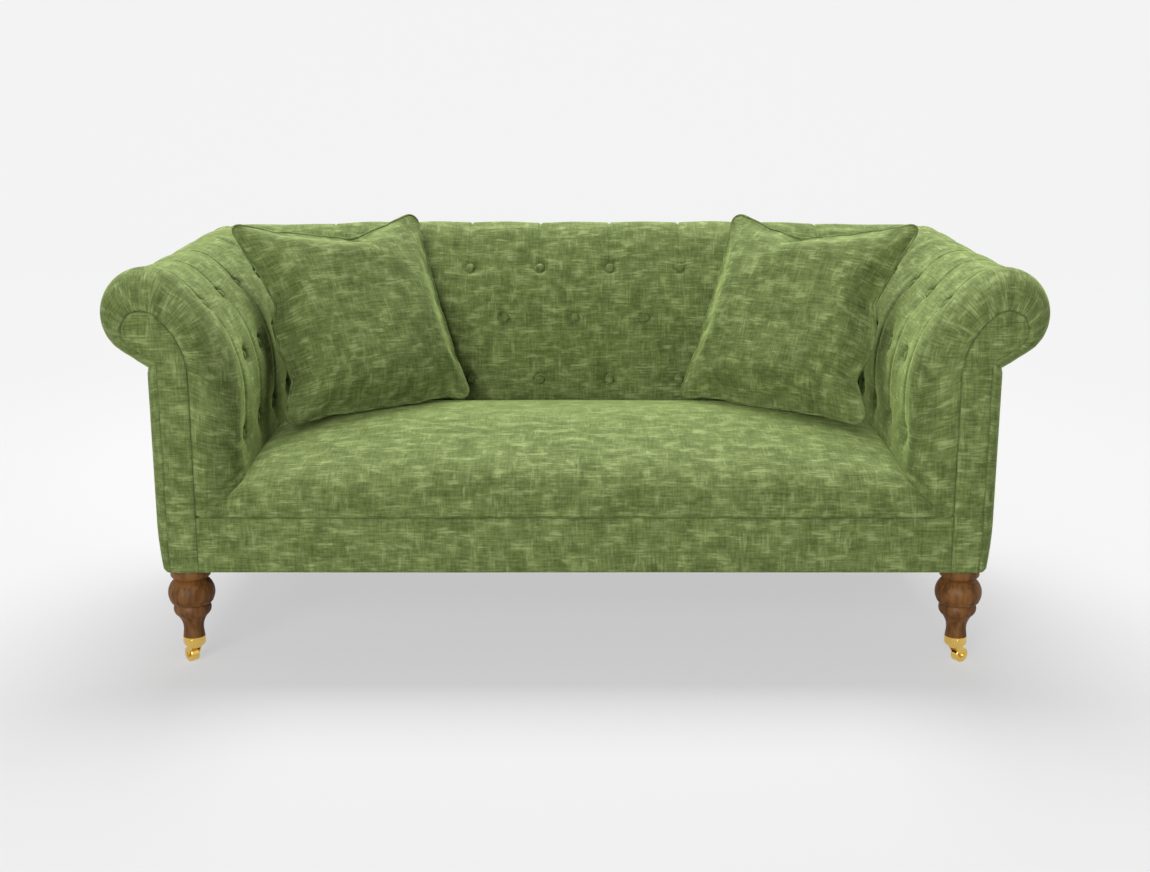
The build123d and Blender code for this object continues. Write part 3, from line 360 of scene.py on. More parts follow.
# Streaks and patches to the metre, across the cloth and up it.
WEFT = (27.0, 240.0, 1.0)
WARP = (240.0, 25.0, 1.0)
FINE_WEFT = (90.0, 620.0, 1.0)
FINE_WARP = (620.0, 90.0, 1.0)
CLOUD = (11.0, 15.0, 1.0)
WIDE_PATCH = (24.0, 44.0, 1.0)
TALL_PATCH = (46.0, 20.0, 3.0)


def cover_cloth(name, sheen):
    """Green slub weave: crossing streaks, pale patches and a thread-fine relief."""
    finish = Finish(name)
    cloth = finish.node("ShaderNodeUVMap", {"uv_map": WEAVE_MAP})
    weft = finish.stretched_noise(cloth, WEFT, 3.0, 0.6)
    warp = finish.stretched_noise(cloth, WARP, 3.0, 0.6)
    fine_weft = finish.stretched_noise(cloth, FINE_WEFT)
    fine_warp = finish.stretched_noise(cloth, FINE_WARP)
    cloud = finish.stretched_noise(cloth, CLOUD, 2.0, 0.6)
    block = finish.stretched_noise(cloth, WIDE_PATCH, 2.0, 0.55)
    tall = finish.stretched_noise(cloth, TALL_PATCH, 2.0, 0.55)
    weft_lines = finish.steps(weft, 0.34, 0.66)
    warp_lines = finish.steps(warp, 0.34, 0.66)
    crossing = 0.5 * weft_lines + 0.5 * warp_lines
    threads = 0.5 * fine_weft + 0.5 * fine_warp
    tone = 0.42 * crossing + 0.75 * (block - 0.5) + 0.50 * (tall - 0.5)
    tone = tone + 0.50 * (cloud - 0.5) + 0.95 * (threads - 0.5) + 0.26
    ground = finish.mix(finish.steps(tone, 0.02, 0.90), CLOTH_DARK, CLOTH_MID)
    wide_patch = finish.steps(block, 0.50, 0.68)
    tall_patch = finish.steps(tall, 0.54, 0.74)
    pale = 0.54 * wide_patch * weft_lines + 0.42 * tall_patch * warp_lines + 0.14 * weft_lines * cloud
    colour = finish.mix(pale, ground, CLOTH_PALE)
    relief = 0.5 * threads + 0.3 * crossing + 0.2 * pale
    normal = finish.bump(relief, 0.0012, 0.55)
    rough = 0.94 - 0.12 * pale
    return finish.set(Base_Color=colour, Roughness=rough, Normal=normal, Sheen_Weight=sheen,
                      Sheen_Roughness=0.32, Sheen_Tint=CLOTH_SHEEN, Specular_IOR_Level=0.20)


COVER = cover_cloth("green_slub_weave", 0.30)
print("cover cloth", len(COVER.node_tree.nodes), "nodes")

# %% [markdown]
# ## Sheets of cloth from a grid
#
# Most covers are one sheet pulled over a rolled pad.  By hand one would start from a grid, bring
# it into shape and give it a thickness, and the helper below does that: it adds a grid primitive,
# moves its points on to the wanted surface, presses in the buttons and pleats along the surface's
# own normal, and applies Solidify.

# %% Selecting, naming and mapping pieces
def blank_selection():
    """Nothing selected and object mode on."""
    if bpy.context.object and bpy.context.object.mode != "OBJECT":
        bpy.ops.object.mode_set(mode="OBJECT")
    bpy.ops.object.select_all(action="DESELECT")


def select_only(piece):
    """Makes a piece the only selected object and the active one."""
    blank_selection()
    piece.select_set(True)
    bpy.context.view_layer.objects.active = piece


def new_piece(name):
    """Names the object that a primitive operator has just added."""
    piece = bpy.context.object
    piece.name = name
    piece.data.name = name
    return piece


def point_places(piece):
    """The piece's points as an array."""
    places = np.empty(len(piece.data.vertices) * 3)
    piece.data.vertices.foreach_get("co", places)
    return places.reshape(-1, 3)


def apply_modifiers(piece):
    """Applies every modifier of a piece in order."""
    select_only(piece)
    for modifier in list(piece.modifiers):
        bpy.ops.object.modifier_apply(modifier=modifier.name)


def set_weave(piece, corners):
    """Gives the piece a UV map in metres, from one pair of numbers for each point."""
    mesh = piece.data
    while mesh.uv_layers:
        mesh.uv_layers.remove(mesh.uv_layers[0])
    layer = mesh.uv_layers.new(name=WEAVE_MAP)
    loops = np.empty(len(mesh.loops), dtype=np.int32)
    mesh.loops.foreach_get("vertex_index", loops)
    layer.data.foreach_set("uv", corners[loops].astype(np.float32).ravel())


def shift_weave(piece, step):
    """Moves a piece to another part of the cloth."""
    for corner in piece.data.uv_layers[WEAVE_MAP].data:
        corner.uv = corner.uv + Vector(step)


print("piece helpers ready")


# %% A sheet through a grid of points
def grid_normals(points, core):
    """Unit normals of a grid that point away from core, and whether its faces must be flipped."""
    normals = np.cross(np.gradient(points, axis=1), np.gradient(points, axis=0))
    normals /= np.maximum(np.linalg.norm(normals, axis=2, keepdims=True), 1e-12)
    watched = [index for index in range(3) if core[index] is not None]
    away = points - np.array([value or 0.0 for value in core])
    flipped = np.sum((normals * away)[..., watched], axis=2).mean() < 0
    return (-normals, True) if flipped else (normals, False)


def cloth_from_grid(name, points, weave, core, depth=None, corner=None, thickness=COVER_T):
    """A sheet through a grid of points with thickness on its inner side.

    depth presses it in along its normal, and corner presses it into a corner seam, where the sheet
    on the other side of the corner moves the same way."""
    rows, columns = points.shape[:2]
    normals, flipped = grid_normals(points, core)
    if depth is not None:
        points = points - normals * depth[..., None]
    if corner is not None:
        hand = np.sign(points[..., 0])
        outward = normals[..., 0] * hand + normals[..., 1]
        points = points - corner[..., None] * np.stack([hand * outward, outward, normals[..., 2]], axis=2)
    blank_selection()
    bpy.ops.mesh.primitive_grid_add(x_subdivisions=columns - 1, y_subdivisions=rows - 1, size=1)
    piece = new_piece(name)
    flat = point_places(piece)
    column = np.rint((flat[:, 0] + 0.5) * (columns - 1)).astype(int)
    row = np.rint((flat[:, 1] + 0.5) * (rows - 1)).astype(int)
    piece.data.vertices.foreach_set("co", points[row, column].ravel())
    set_weave(piece, weave[row, column])
    piece.data.update()
    if flipped:
        bpy.ops.object.mode_set(mode="EDIT")
        bpy.ops.mesh.select_all(action="SELECT")
        bpy.ops.mesh.flip_normals()
        bpy.ops.object.mode_set(mode="OBJECT")
    wall = piece.modifiers.new("thickness", "SOLIDIFY")
    wall.thickness = thickness
    wall.offset = -1
    apply_modifiers(piece)
    bpy.ops.object.shade_smooth()
    return piece


def dress(piece, material, slot, *nodes, fill=None, body="frame"):
    """Finishes a piece: its material, body and the solids that it stands for.  slot is not used."""
    piece.data.materials.clear()
    piece.data.materials.append(material)
    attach(piece, body)
    if nodes:
        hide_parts(*nodes)
    print(piece.name, len(piece.data.polygons), "faces")
    return piece


def crowded(low, high, count, spots, width, gain):
    """Numbers from low to high that lie closer together near the spots."""
    fine = np.linspace(low, high, 6000)
    density = np.ones_like(fine)
    for spot in spots:
        density += gain * hump(fine - spot, width)
    reached = np.concatenate([[0], np.cumsum(density[1:] + density[:-1])])
    return np.interp(np.linspace(0, reached[-1], count), reached, fine)


def hump(distance, width):
    """1 at no distance, falling away smoothly over the width."""
    return np.exp(-(distance / width) ** 2)


def ramp(value, low, high):
    """0 below low and 1 above high, with a smooth change between."""
    share = np.clip((value - low) / (high - low), 0, 1)
    return share * share * (3 - 2 * share)


print("cloth helpers ready")

# %% [markdown]
# ## The rolled section as a line
#
# Arms and back share one section: a straight inner face, a long arc that swells towards the
# sitter, the roll, and a short straight run under it.  The line is walked by a share from 0 at the
# foot to 1 at the seam under the roll, so that the rounded front of the arm can blend the same
# line from the small facing to the full roll.

# %% Section line
def long_arc(shape):
    """Centre, radius and end angle of the arc between the inner face and the roll."""
    roll_u, roll_z, roll_r, inner_u, inner_z = shape[:5]
    lean = 2 * (math.atan2(roll_z - inner_z, roll_u - inner_u - roll_r) - math.pi / 4)
    reach = (roll_z - inner_z) / math.cos(lean)
    return roll_u + reach * math.sin(lean), reach + roll_r, math.pi / 2 + lean


def under_roll(shape):
    """Point where the roll is left and point where the line under it meets the outer side."""
    roll_u, roll_z, roll_r, _, _, side_u, _ = shape
    leave_u = roll_u + roll_r * math.cos(LEAVE)
    leave_z = roll_z - roll_r * math.sin(LEAVE)
    return (leave_u, leave_z), (side_u, leave_z - (leave_u - side_u) / math.tan(LEAVE))


_, BIG_R, TURN = long_arc(ROLLED)
(LEAVE_U, LEAVE_Z), (_, JOINT_Z) = under_roll(ROLLED)
RUNS = np.array([INNER_Z - FOOT_Z, BIG_R * (math.pi - TURN), ROLL_R * (TURN + LEAVE),
                 math.hypot(LEAVE_U - SIDE_U, LEAVE_Z - JOINT_Z)])
SECTION_LONG = RUNS.sum()
FACE_END, ARC_END, ROLL_END = np.cumsum(RUNS)[:3] / SECTION_LONG
print("section", round(SECTION_LONG, 3), "m from the seat over the roll")


def cover_line(shape, share):
    """Points u and z of the section line at each share of its length."""
    roll_u, roll_z, roll_r, inner_u, inner_z = shape[:5]
    big_u, big_r, turn = long_arc(shape)
    leave, joint = under_roll(shape)
    face = np.clip(share / FACE_END, 0, 1)
    arc = math.pi + (turn - math.pi) * np.clip((share - FACE_END) / (ARC_END - FACE_END), 0, 1)
    roll = turn + (-LEAVE - turn) * np.clip((share - ARC_END) / (ROLL_END - ARC_END), 0, 1)
    run = np.clip((share - ROLL_END) / (1 - ROLL_END), 0, 1)
    choices = [share <= FACE_END, share <= ARC_END, share <= ROLL_END]
    u_parts = [inner_u + 0 * share, big_u + big_r * np.cos(arc), roll_u + roll_r * np.cos(roll)]
    z_parts = [FOOT_Z + (inner_z - FOOT_Z) * face, inner_z + big_r * np.sin(arc),
               roll_z + roll_r * np.sin(roll)]
    return (np.select(choices, u_parts, leave[0] + (joint[0] - leave[0]) * run),
            np.select(choices, z_parts, leave[1] + (joint[1] - leave[1]) * run))


def length_at(z):
    """Length along the section from the foot to a height on the padded inner side."""
    if z <= INNER_Z:
        return z - FOOT_Z
    return RUNS[0] + BIG_R * math.asin((z - INNER_Z) / BIG_R)


# %% [markdown]
# ## Buttons and pleats
#
# The inside of the arms and back is float-buttoned: each covered button pulls the cloth into a
# small round hollow.  From the top row a pleat runs over the roll, and the cloth swells a little
# between the pleats.  Both could be sculpted, but then no two would match.  They are depths below
# the smooth surface, so formulas of the distance to a button or a pleat give them all alike.

# %% Button rows and the depth that they press
ROWS_Z = {"low": 0.459, "middle": 0.604, "top": 0.717}
BACK_PITCH = 0.161
ARM_PITCH = 0.155
ARM_FIRST = FRONT_Y + 0.125
TUFT_DEEP = 0.012
TUFT_NEAR = 0.015
TUFT_FAR = 0.042
GROOVE_DEEP = 0.0045
GROOVE_R = 0.0115
GROOVE_HALF = 0.0038
PLEAT_DEEP = 0.0042
PLEAT_HALF = 0.0028
SWELL = 0.0022
LAID_WAVE = 0.0012
ARM_COLUMNS = {"low": (0, 1, 2, 3), "middle": (0.5, 1.5, 2.5), "top": (0, 1, 2, 3)}
BACK_COLUMNS = {"low": (0.5, 1.5, 2.5, 3.5), "middle": (0, 1, 2, 3), "top": (0.5, 1.5, 2.5, 3.5)}
ARM_SPOTS = [(ARM_FIRST + step * ARM_PITCH, ROWS_Z[row])
             for row, steps in ARM_COLUMNS.items() for step in steps]
BACK_SPOTS = sorted({(side * step * BACK_PITCH, ROWS_Z[row]) for row, steps in BACK_COLUMNS.items()
                     for step in steps for side in (-1, 1)})


def tuft_depth(place, length, spots):
    """Depth of the hollows at the buttons."""
    depth = np.zeros_like(place)
    for spot, z in spots:
        away = np.hypot(place - spot, length - length_at(z))
        hollow = TUFT_DEEP * (0.62 * hump(away, TUFT_NEAR) + 0.38 * hump(away, TUFT_FAR))
        depth = np.maximum(depth, hollow + GROOVE_DEEP * hump(away - GROOVE_R, GROOVE_HALF))
    return depth


def pleat_depth(place, length, first, pitch):
    """Depth of the pleats over the roll and of the swell between them."""
    phase = (place - first) / pitch
    near = np.abs(phase - np.rint(phase)) * pitch
    sway = 0.5 + 0.5 * np.cos(2 * math.pi * phase)
    over = ramp(length, length_at(ROWS_Z["top"]) - 0.004, length_at(ROWS_Z["top"]) + 0.03)
    return over * (PLEAT_DEEP * hump(near, PLEAT_HALF) + SWELL * sway)


def soft_wave(first, second, amount):
    """A slow unevenness of hand-laid padding."""
    return amount * (np.sin(9.1 * first + 3.7 * second) + np.sin(14.3 * second - 6.1 * first)
                     + 0.6 * np.sin(23.0 * first + 17.0 * second)) / 2.6


ROW_SHARES = [length_at(z) / SECTION_LONG for z in ROWS_Z.values()]
print(len(ARM_SPOTS) * 2, "arm buttons,", len(BACK_SPOTS), "back buttons")

# %% [markdown]
# ## Arm covers
#
# Each arm cover runs from the seat up the inside, over the roll and under it, and its front is
# rounded down to the flat facing, where the cloth is gathered round the scroll.  The inside shows
# long upright folds below the pleats, and a crease marks where the end of the seat is tucked in.

# %% Arm covers
ARM_ROWS = 210
ARM_STEPS = 228
NOSE_LONG = NOSE_R * math.pi / 2
RUN_START_Y = FRONT_Y + NOSE_R
RUN_STRAIGHT_Y = 0.12
CORNER_START_Y = 0.02
MITRE_GAP = -0.0015
MITRE_DEEP = 0.007
MITRE_HALF = 0.011
MITRE_NEAR = 0.002
MITRE_FREE = 0.030
SEAM_DEEP = 0.0030
SEAM_HALF = 0.004
CORE_Z = 0.52
GATHER_STEP = 0.0255
GATHER_DEEP = 0.0020
GATHER_REACH = 0.030
FOLD_DEEP = 0.0020
FOLD_HALF = 0.0085
FOLD_SWAY = 0.006
TUCK_TOP_Z = 0.392
TUCK_SLOPE = (TUCK_TOP_Z - SEAM_Z) / (FACE_INNER_U - INNER_U)
TUCK_DEEP = 0.0040
TUCK_HALF = 0.0050


def arm_shape(run_y):
    """The full section of an arm at a place along it, which ends as the back's at the corner."""
    behind_nose = ramp(run_y, RUN_START_Y, RUN_START_Y + NOSE_R)
    return ROLLED + (ARM_SHIFT + RUN_SHIFT * behind_nose) * (1 - ramp(run_y, CORNER_START_Y, INNER_Y))


def along_arm(line, side, share, columns, spots=()):
    """Grid of points of a section line carried along one arm, and the length along the arm."""
    lengths = crowded(0, NOSE_LONG + INNER_Y - RUN_START_Y, columns,
                      [NOSE_LONG + spot - RUN_START_Y for spot in spots], 0.016, 2.2)
    points = np.empty((len(share), columns, 3))
    for index, length in enumerate(lengths):
        angle = min(length / NOSE_R, math.pi / 2)
        run_y = RUN_START_Y + max(0.0, length - NOSE_LONG)
        u, z = line(FACED + (arm_shape(run_y) - FACED) * math.sin(angle), share)
        stretch = (u + BACK_SHIFT - MITRE_GAP - RUN_STRAIGHT_Y) / (INNER_Y - RUN_STRAIGHT_Y)
        run_y = min(run_y, RUN_STRAIGHT_Y) + max(0.0, run_y - RUN_STRAIGHT_Y) * stretch
        y = FRONT_Y + NOSE_R * (1 - math.cos(angle)) + run_y - RUN_START_Y
        points[:, index] = np.stack([side * u, y, z], axis=1)
    steps = np.linalg.norm(np.diff(points, axis=1), axis=2)
    along = np.concatenate([np.zeros((len(share), 1)), np.cumsum(steps, axis=1)], axis=1)
    return points, along


def corner_seam(points):
    """How free a sheet is of the seam between arm and back, from 0 to 1, and the seam's depth."""
    away = np.abs(points[..., 1] - BACK_SHIFT - np.abs(points[..., 0])) / math.sqrt(2)
    return ramp(away, MITRE_NEAR, MITRE_FREE), MITRE_DEEP * hump(away, MITRE_HALF)


def arm_cover(name, side, shift):
    """One arm cover with its buttons, pleats, folds, gathers and seams."""
    share = crowded(0, 1, ARM_ROWS, ROW_SHARES, 0.022, 2.0)
    columns = [ARM_FIRST + step * ARM_PITCH / 2 for step in range(7)]
    points, along = along_arm(cover_line, side, share, ARM_STEPS, columns)
    length = share[:, None] * SECTION_LONG + 0 * along
    y = points[..., 1]
    tufts = tuft_depth(y, length, ARM_SPOTS)
    past_nose = ramp(along, NOSE_LONG * 0.75, NOSE_LONG * 1.15)
    depth = tufts + pleat_depth(y, length, ARM_FIRST, ARM_PITCH) * past_nose
    phase = (y + FOLD_SWAY * np.sin(17 * length + 2.0) - ARM_FIRST) / ARM_PITCH
    near = np.abs(phase - np.rint(phase)) * ARM_PITCH
    upright = ramp(length, length_at(ROWS_Z["low"]) - 0.06, length_at(ROWS_Z["low"]))
    upright = upright * (1 - ramp(length, length_at(ROWS_Z["top"]), length_at(ROWS_Z["top"]) + 0.02))
    between = np.clip(1 - tufts / TUFT_DEEP, 0, 1)
    depth += FOLD_DEEP * hump(near, FOLD_HALF) * upright * between * past_nose
    scroll = ramp(length, RUNS[:2].sum() - 0.05, RUNS[:2].sum() + 0.05)
    gather = 0.5 + 0.5 * np.cos(2 * math.pi * length / GATHER_STEP)
    depth += GATHER_DEEP * gather * scroll * np.exp(-along / GATHER_REACH)
    depth += SEAM_DEEP * hump(along, SEAM_HALF)
    tuck_z = SEAM_Z + TUCK_SLOPE * (FACE_INNER_U - np.abs(points[..., 0]))
    tuck = hump((points[..., 2] - tuck_z) / math.hypot(1, TUCK_SLOPE), TUCK_HALF)
    depth += TUCK_DEEP * tuck * (1 - past_nose)
    free, drawn = corner_seam(points)
    depth = (depth + soft_wave(y * 2 + shift, length, LAID_WAVE)) * free
    weave = np.stack([along + shift, length + shift], axis=2)
    piece = cloth_from_grid(name, points, weave, (side * SIDE_U, None, CORE_Z), depth, drawn)
    return dress(piece, COVER, "cover_fabric", name, name.replace("cover", "pad"), fill=0.85)


for side, name, shift in ((-1, "arm_cover_left", 0.31), (1, "arm_cover_right", 1.77)):
    arm_cover(name, side, shift)

# %% [markdown]
# ## Back cover
#
# The back has the same section, carried along X between the two corner seams, so that both sheets
# meet there without a gap.  Its pleats only run from the top row of buttons upwards, and the rest
# of it is smooth between the hollows.

# %% Back cover
BACK_ROWS = 148
BACK_STEPS = 330
BACK_CROWN = 0.007
BACK_STRAIGHT_X = 0.57


def along_back(line, share, columns, spots=()):
    """Grid of points of a section line carried along the back between the corner seams."""
    u, z = line(ROLLED, share)
    middle = crowded(-INNER_U, INNER_U, columns, spots, 0.016, 2.2)[None, :]
    stretch = (u[:, None] - MITRE_GAP - BACK_STRAIGHT_X) / (INNER_U - BACK_STRAIGHT_X)
    beyond = np.maximum(np.abs(middle) - BACK_STRAIGHT_X, 0)
    x = np.sign(middle) * (np.minimum(np.abs(middle), BACK_STRAIGHT_X) + beyond * stretch)
    return np.stack([x, u[:, None] + BACK_SHIFT + 0 * x, z[:, None] + 0 * x], axis=2)


def back_cover():
    """The inside back with its buttons, pleats and corner seams."""
    share = crowded(0, 1, BACK_ROWS, ROW_SHARES, 0.022, 2.0)
    points = along_back(cover_line, share, BACK_STEPS, [step * BACK_PITCH / 2 for step in range(-7, 8)])
    x = points[..., 0]
    length = share[:, None] * SECTION_LONG + 0 * x
    middle = 1 - (np.abs(x) / INNER_U) ** 4
    points[..., 2] += BACK_CROWN * np.clip(middle, 0, 1) * ramp(points[..., 2], ROWS_Z["top"], TOP_Z)
    depth = tuft_depth(x, length, BACK_SPOTS)
    within = 1 - ramp(np.abs(x), 4.1 * BACK_PITCH, 4.5 * BACK_PITCH)
    depth += pleat_depth(x, length, 0.5 * BACK_PITCH, BACK_PITCH) * within
    free, drawn = corner_seam(points)
    depth = (depth + soft_wave(x, length, LAID_WAVE)) * free
    weave = np.stack([x, length], axis=2)
    core = (None, SIDE_U + BACK_SHIFT, CORE_Z)
    piece = cloth_from_grid("back_cover", points, weave, core, depth, drawn)
    return dress(piece, COVER, "cover_fabric", "back_cover", "back_pad", fill=0.85)


back_cover()

# %% [markdown]
# ## Outside panels
#
# The outside of the arms and back is a plain panel, tacked under the roll and drawn in at the
# bottom.  It is the same kind of sheet on a simpler line, and a thin wadding makes it swell.  A flat
# plane would do for the panel alone, but this line also meets the roll, the facing and the corners.

# %% Outside panels
PANEL_ROWS = 60
PANEL_STEPS = 150
PANEL_BACK_STEPS = 240
PANEL_SWELL = 0.003
PANEL_WAVE = 0.0008
PANEL_SEAM_HALF = 0.006
PANEL_MITRE = 0.3
HEM = 0.010
PANEL_LAP = 0.010
SIDE_RUNS = np.array([JOINT_Z - BEND_Z, BEND_RISE * 1.01, HEM])
SIDE_LONG = SIDE_RUNS.sum()
SIDE_END, BEND_END = np.cumsum(SIDE_RUNS)[:2] / SIDE_LONG


def side_line(shape, share):
    """Points of the outer side from the seam under the roll to the hem under the frame."""
    side_u, bend_r = shape[5:]
    _, joint = under_roll(shape)
    bend_end = math.asin(BEND_RISE / bend_r)
    down = np.clip(share / SIDE_END, 0, 1)
    angle = bend_end * np.clip((share - SIDE_END) / (BEND_END - SIDE_END), 0, 1)
    hem = HEM * np.clip((share - BEND_END) / (1 - BEND_END), 0, 1)
    u = side_u - bend_r * (1 - np.cos(angle)) - hem
    top_z = joint[1] + PANEL_LAP
    z = np.where(share <= SIDE_END, top_z + (BEND_Z - top_z) * down, BEND_Z - bend_r * np.sin(angle))
    return u, z


def panel_depth(across, length):
    """A swell in the middle of a panel and a seam along its upper edge."""
    middle = np.sin(math.pi * np.clip(length / SIDE_LONG, 0, 1))
    return SEAM_DEEP * hump(length - PANEL_LAP, PANEL_SEAM_HALF) - PANEL_SWELL * middle * across


def outside_arm(name, side, shift):
    """The outside panel of one arm, rounded at the front to the facing."""
    share = np.linspace(0, 1, PANEL_ROWS)
    points, along = along_arm(side_line, side, share, PANEL_STEPS)
    length = share[:, None] * SIDE_LONG + 0 * along
    depth = panel_depth(ramp(along, NOSE_LONG * 0.5, NOSE_LONG * 1.5), length)
    depth += SEAM_DEEP * hump(along, SEAM_HALF)
    free, drawn = corner_seam(points)
    weave = np.stack([along + shift, length + shift], axis=2)
    core = (0.0, None, None)
    piece = cloth_from_grid(name, points, weave, core, depth * free, PANEL_MITRE * drawn)
    return dress(piece, COVER, "cover_fabric", name, fill=0.9)


def outside_back():
    """The plain panel on the outside of the back."""
    share = np.linspace(0, 1, PANEL_ROWS)
    points = along_back(side_line, share, PANEL_BACK_STEPS)
    x = points[..., 0]
    length = share[:, None] * SIDE_LONG + 0 * x
    depth = panel_depth(1 - (np.abs(x) / HALF_WIDTH) ** 4, length) + soft_wave(x, length, PANEL_WAVE)
    weave = np.stack([x + 0.7, length + 2.3], axis=2)
    free, drawn = corner_seam(points)
    core = (None, 0.0, None)
    piece = cloth_from_grid("outside_back_panel", points, weave, core, depth * free, PANEL_MITRE * drawn)
    return dress(piece, COVER, "cover_fabric", "outside_back_panel", fill=0.9)


for side, name, shift in ((-1, "outside_arm_panel_left", 3.1), (1, "outside_arm_panel_right", 4.4)):
    outside_arm(name, side, shift)
outside_back()

# %% [markdown]
# ## Seat and front border
#
# The seat is one crowned pad that rolls down to a seam above the border.  It is highest about the
# middle of its depth and falls away to the arms, where it is pushed under their padding.  A rounded
# box would be quicker to model, but a line from front to back at each place across the seat keeps
# its ends exactly under the arms.  The border below the seam is a flat band with curled edges.

# %% Seat
SEAT_SINK = 0.019
SEAT_TOP_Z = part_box("seat_cover")[1].z - SEAT_SINK
SEAT_HALF = FACE_INNER_U - 0.0006
SEAT_PEAK_BACK = 0.360
SEAT_ROLL_SHARE = 0.74
SEAT_ROLL_END = 0.20
SEAT_CROWN_END = 0.92
SEAT_ROWS = 120
SEAT_STEPS = 260
SEAT_REAR_DROP = 0.05
SEAT_GAP = 0.0003
SEAT_EDGE = 0.0015
SEAT_SEAM_HALF = 0.005
SEAT_WAVE = 0.0016


def seat_top(x):
    """Height of the seat at its peak, across the width."""
    reach = INNER_U - SEAT_GAP
    if abs(x) > reach:
        return TUCK_TOP_Z - (abs(x) - INNER_U) * TUCK_SLOPE - 2 * SEAT_GAP
    end = TUCK_TOP_Z - 2 * SEAT_GAP
    return end + (SEAT_TOP_Z - end) * math.sqrt(1 - (abs(x) / reach) ** 3)


def seat_line(x, share):
    """Front-to-back line of the seat at x: front roll, crown and the tuck behind."""
    low = SEAM_Z + SEAT_GAP
    top = max(seat_top(x), low + SEAT_EDGE)
    roll = SEAT_ROLL_SHARE * (top - low)
    tilt = 2 * math.atan((top - low - roll) / (SEAT_PEAK_BACK - roll))
    crown_r = roll + (SEAT_PEAK_BACK - roll) / math.sin(tilt)
    peak_y = FRONT_Y + SEAT_PEAK_BACK
    rear = INNER_Y - SEAT_GAP
    angle = (math.pi / 2 - tilt) * np.clip(share / SEAT_ROLL_END, 0, 1)
    join_y = FRONT_Y + roll - roll * math.cos(math.pi / 2 - tilt)
    back_share = np.clip((share - SEAT_ROLL_END) / (SEAT_CROWN_END - SEAT_ROLL_END), 0, 1)
    y = join_y + (rear - join_y) * back_share
    crown = top - crown_r + np.sqrt(crown_r ** 2 - (y - peak_y) ** 2)
    drop = SEAT_REAR_DROP * np.clip((share - SEAT_CROWN_END) / (1 - SEAT_CROWN_END), 0, 1)
    on_roll = share <= SEAT_ROLL_END
    return (np.where(on_roll, FRONT_Y + roll - roll * np.cos(angle), y),
            np.where(on_roll, low + roll * np.sin(angle), crown - drop))


def seat_cover():
    """The crowned seat with a drawn-in seam along the front."""
    share = np.linspace(0, 1, SEAT_ROWS)
    columns = np.linspace(-SEAT_HALF, SEAT_HALF, SEAT_STEPS)
    points = np.empty((SEAT_ROWS, SEAT_STEPS, 3))
    for index, x in enumerate(columns):
        y, z = seat_line(x, share)
        points[:, index] = np.stack([0 * y + x, y, z], axis=1)
    steps = np.linalg.norm(np.diff(points, axis=0), axis=2)
    length = np.concatenate([np.zeros((1, SEAT_STEPS)), np.cumsum(steps, axis=0)])
    x = points[..., 0]
    depth = SEAM_DEEP * hump(length, SEAT_SEAM_HALF)
    depth += soft_wave(x * 0.8, length, SEAT_WAVE) * ramp(length, 0.02, 0.15)
    weave = np.stack([x + 5.2, length + 1.1], axis=2)
    piece = cloth_from_grid("seat_cover", points, weave, (None, None, 0.1), depth)
    return dress(piece, COVER, "cover_fabric", "seat_cover", "seat_pad", fill=0.8)


seat_cover()

# %% Front border
BORDER_CURL = 0.0030
BORDER_CURL_HALF = 0.0035
BORDER_SWELL = 0.0028
BORDER_WAVE = 0.0006
BORDER_ROWS = 40
BORDER_STEPS = 240


def front_border():
    """The flat band below the seat seam, curled in at its seam, hem and ends."""
    share = np.linspace(0, 1, BORDER_ROWS)[:, None]
    x = np.linspace(-BORDER_HALF, BORDER_HALF, BORDER_STEPS)[None, :] + 0 * share
    z = UNDER_Z + (SEAM_Z - UNDER_Z) * share + 0 * x
    edge = np.minimum(np.minimum(z - UNDER_Z, SEAM_Z - z), BORDER_HALF - np.abs(x))
    curl = BORDER_CURL * hump(edge, BORDER_CURL_HALF)
    swell = BORDER_SWELL * np.sin(math.pi * share) * (1 - (np.abs(x) / BORDER_HALF) ** 8)
    y = FRONT_Y + curl - swell + soft_wave(x, z, BORDER_WAVE)
    points = np.stack([x, y, z], axis=2)
    piece = cloth_from_grid("front_border", points, np.stack([x + 7.9, z], axis=2), (None, 0.0, None))
    return dress(piece, COVER, "cover_fabric", "front_border", fill=0.9)


front_border()

# %% [markdown]
# ## Arm facings
#
# A flat panel closes the front of each arm.  Its outline is the section line at the front of the
# arm.  A strip of cloth runs up between its inner and outer edges to the tip of the scroll, sunk
# along the seams and slightly domed between them, as thin wadding under the cloth does.  A filled
# curve would give the outline too, but the rows of a strip follow the seams that are sunk into it.

# %% Arm facings
FACE_ROWS = 150
FACE_STEPS = 26
FACE_SUNK = 0.0024
FACE_SEAM_HALF = 0.0034
FACE_DOME = 0.0012
FACE_DOME_FROM = 0.003
FACE_DOME_FULL = 0.024
FACE_TIP = -0.10


def even_line(points, count):
    """The same line with count points spaced evenly along it."""
    steps = np.concatenate([[0], np.cumsum(np.linalg.norm(np.diff(points, axis=0), axis=1))])
    places = np.linspace(0, steps[-1], count)
    return np.stack([np.interp(places, steps, points[:, axis]) for axis in (0, 1)], axis=1)


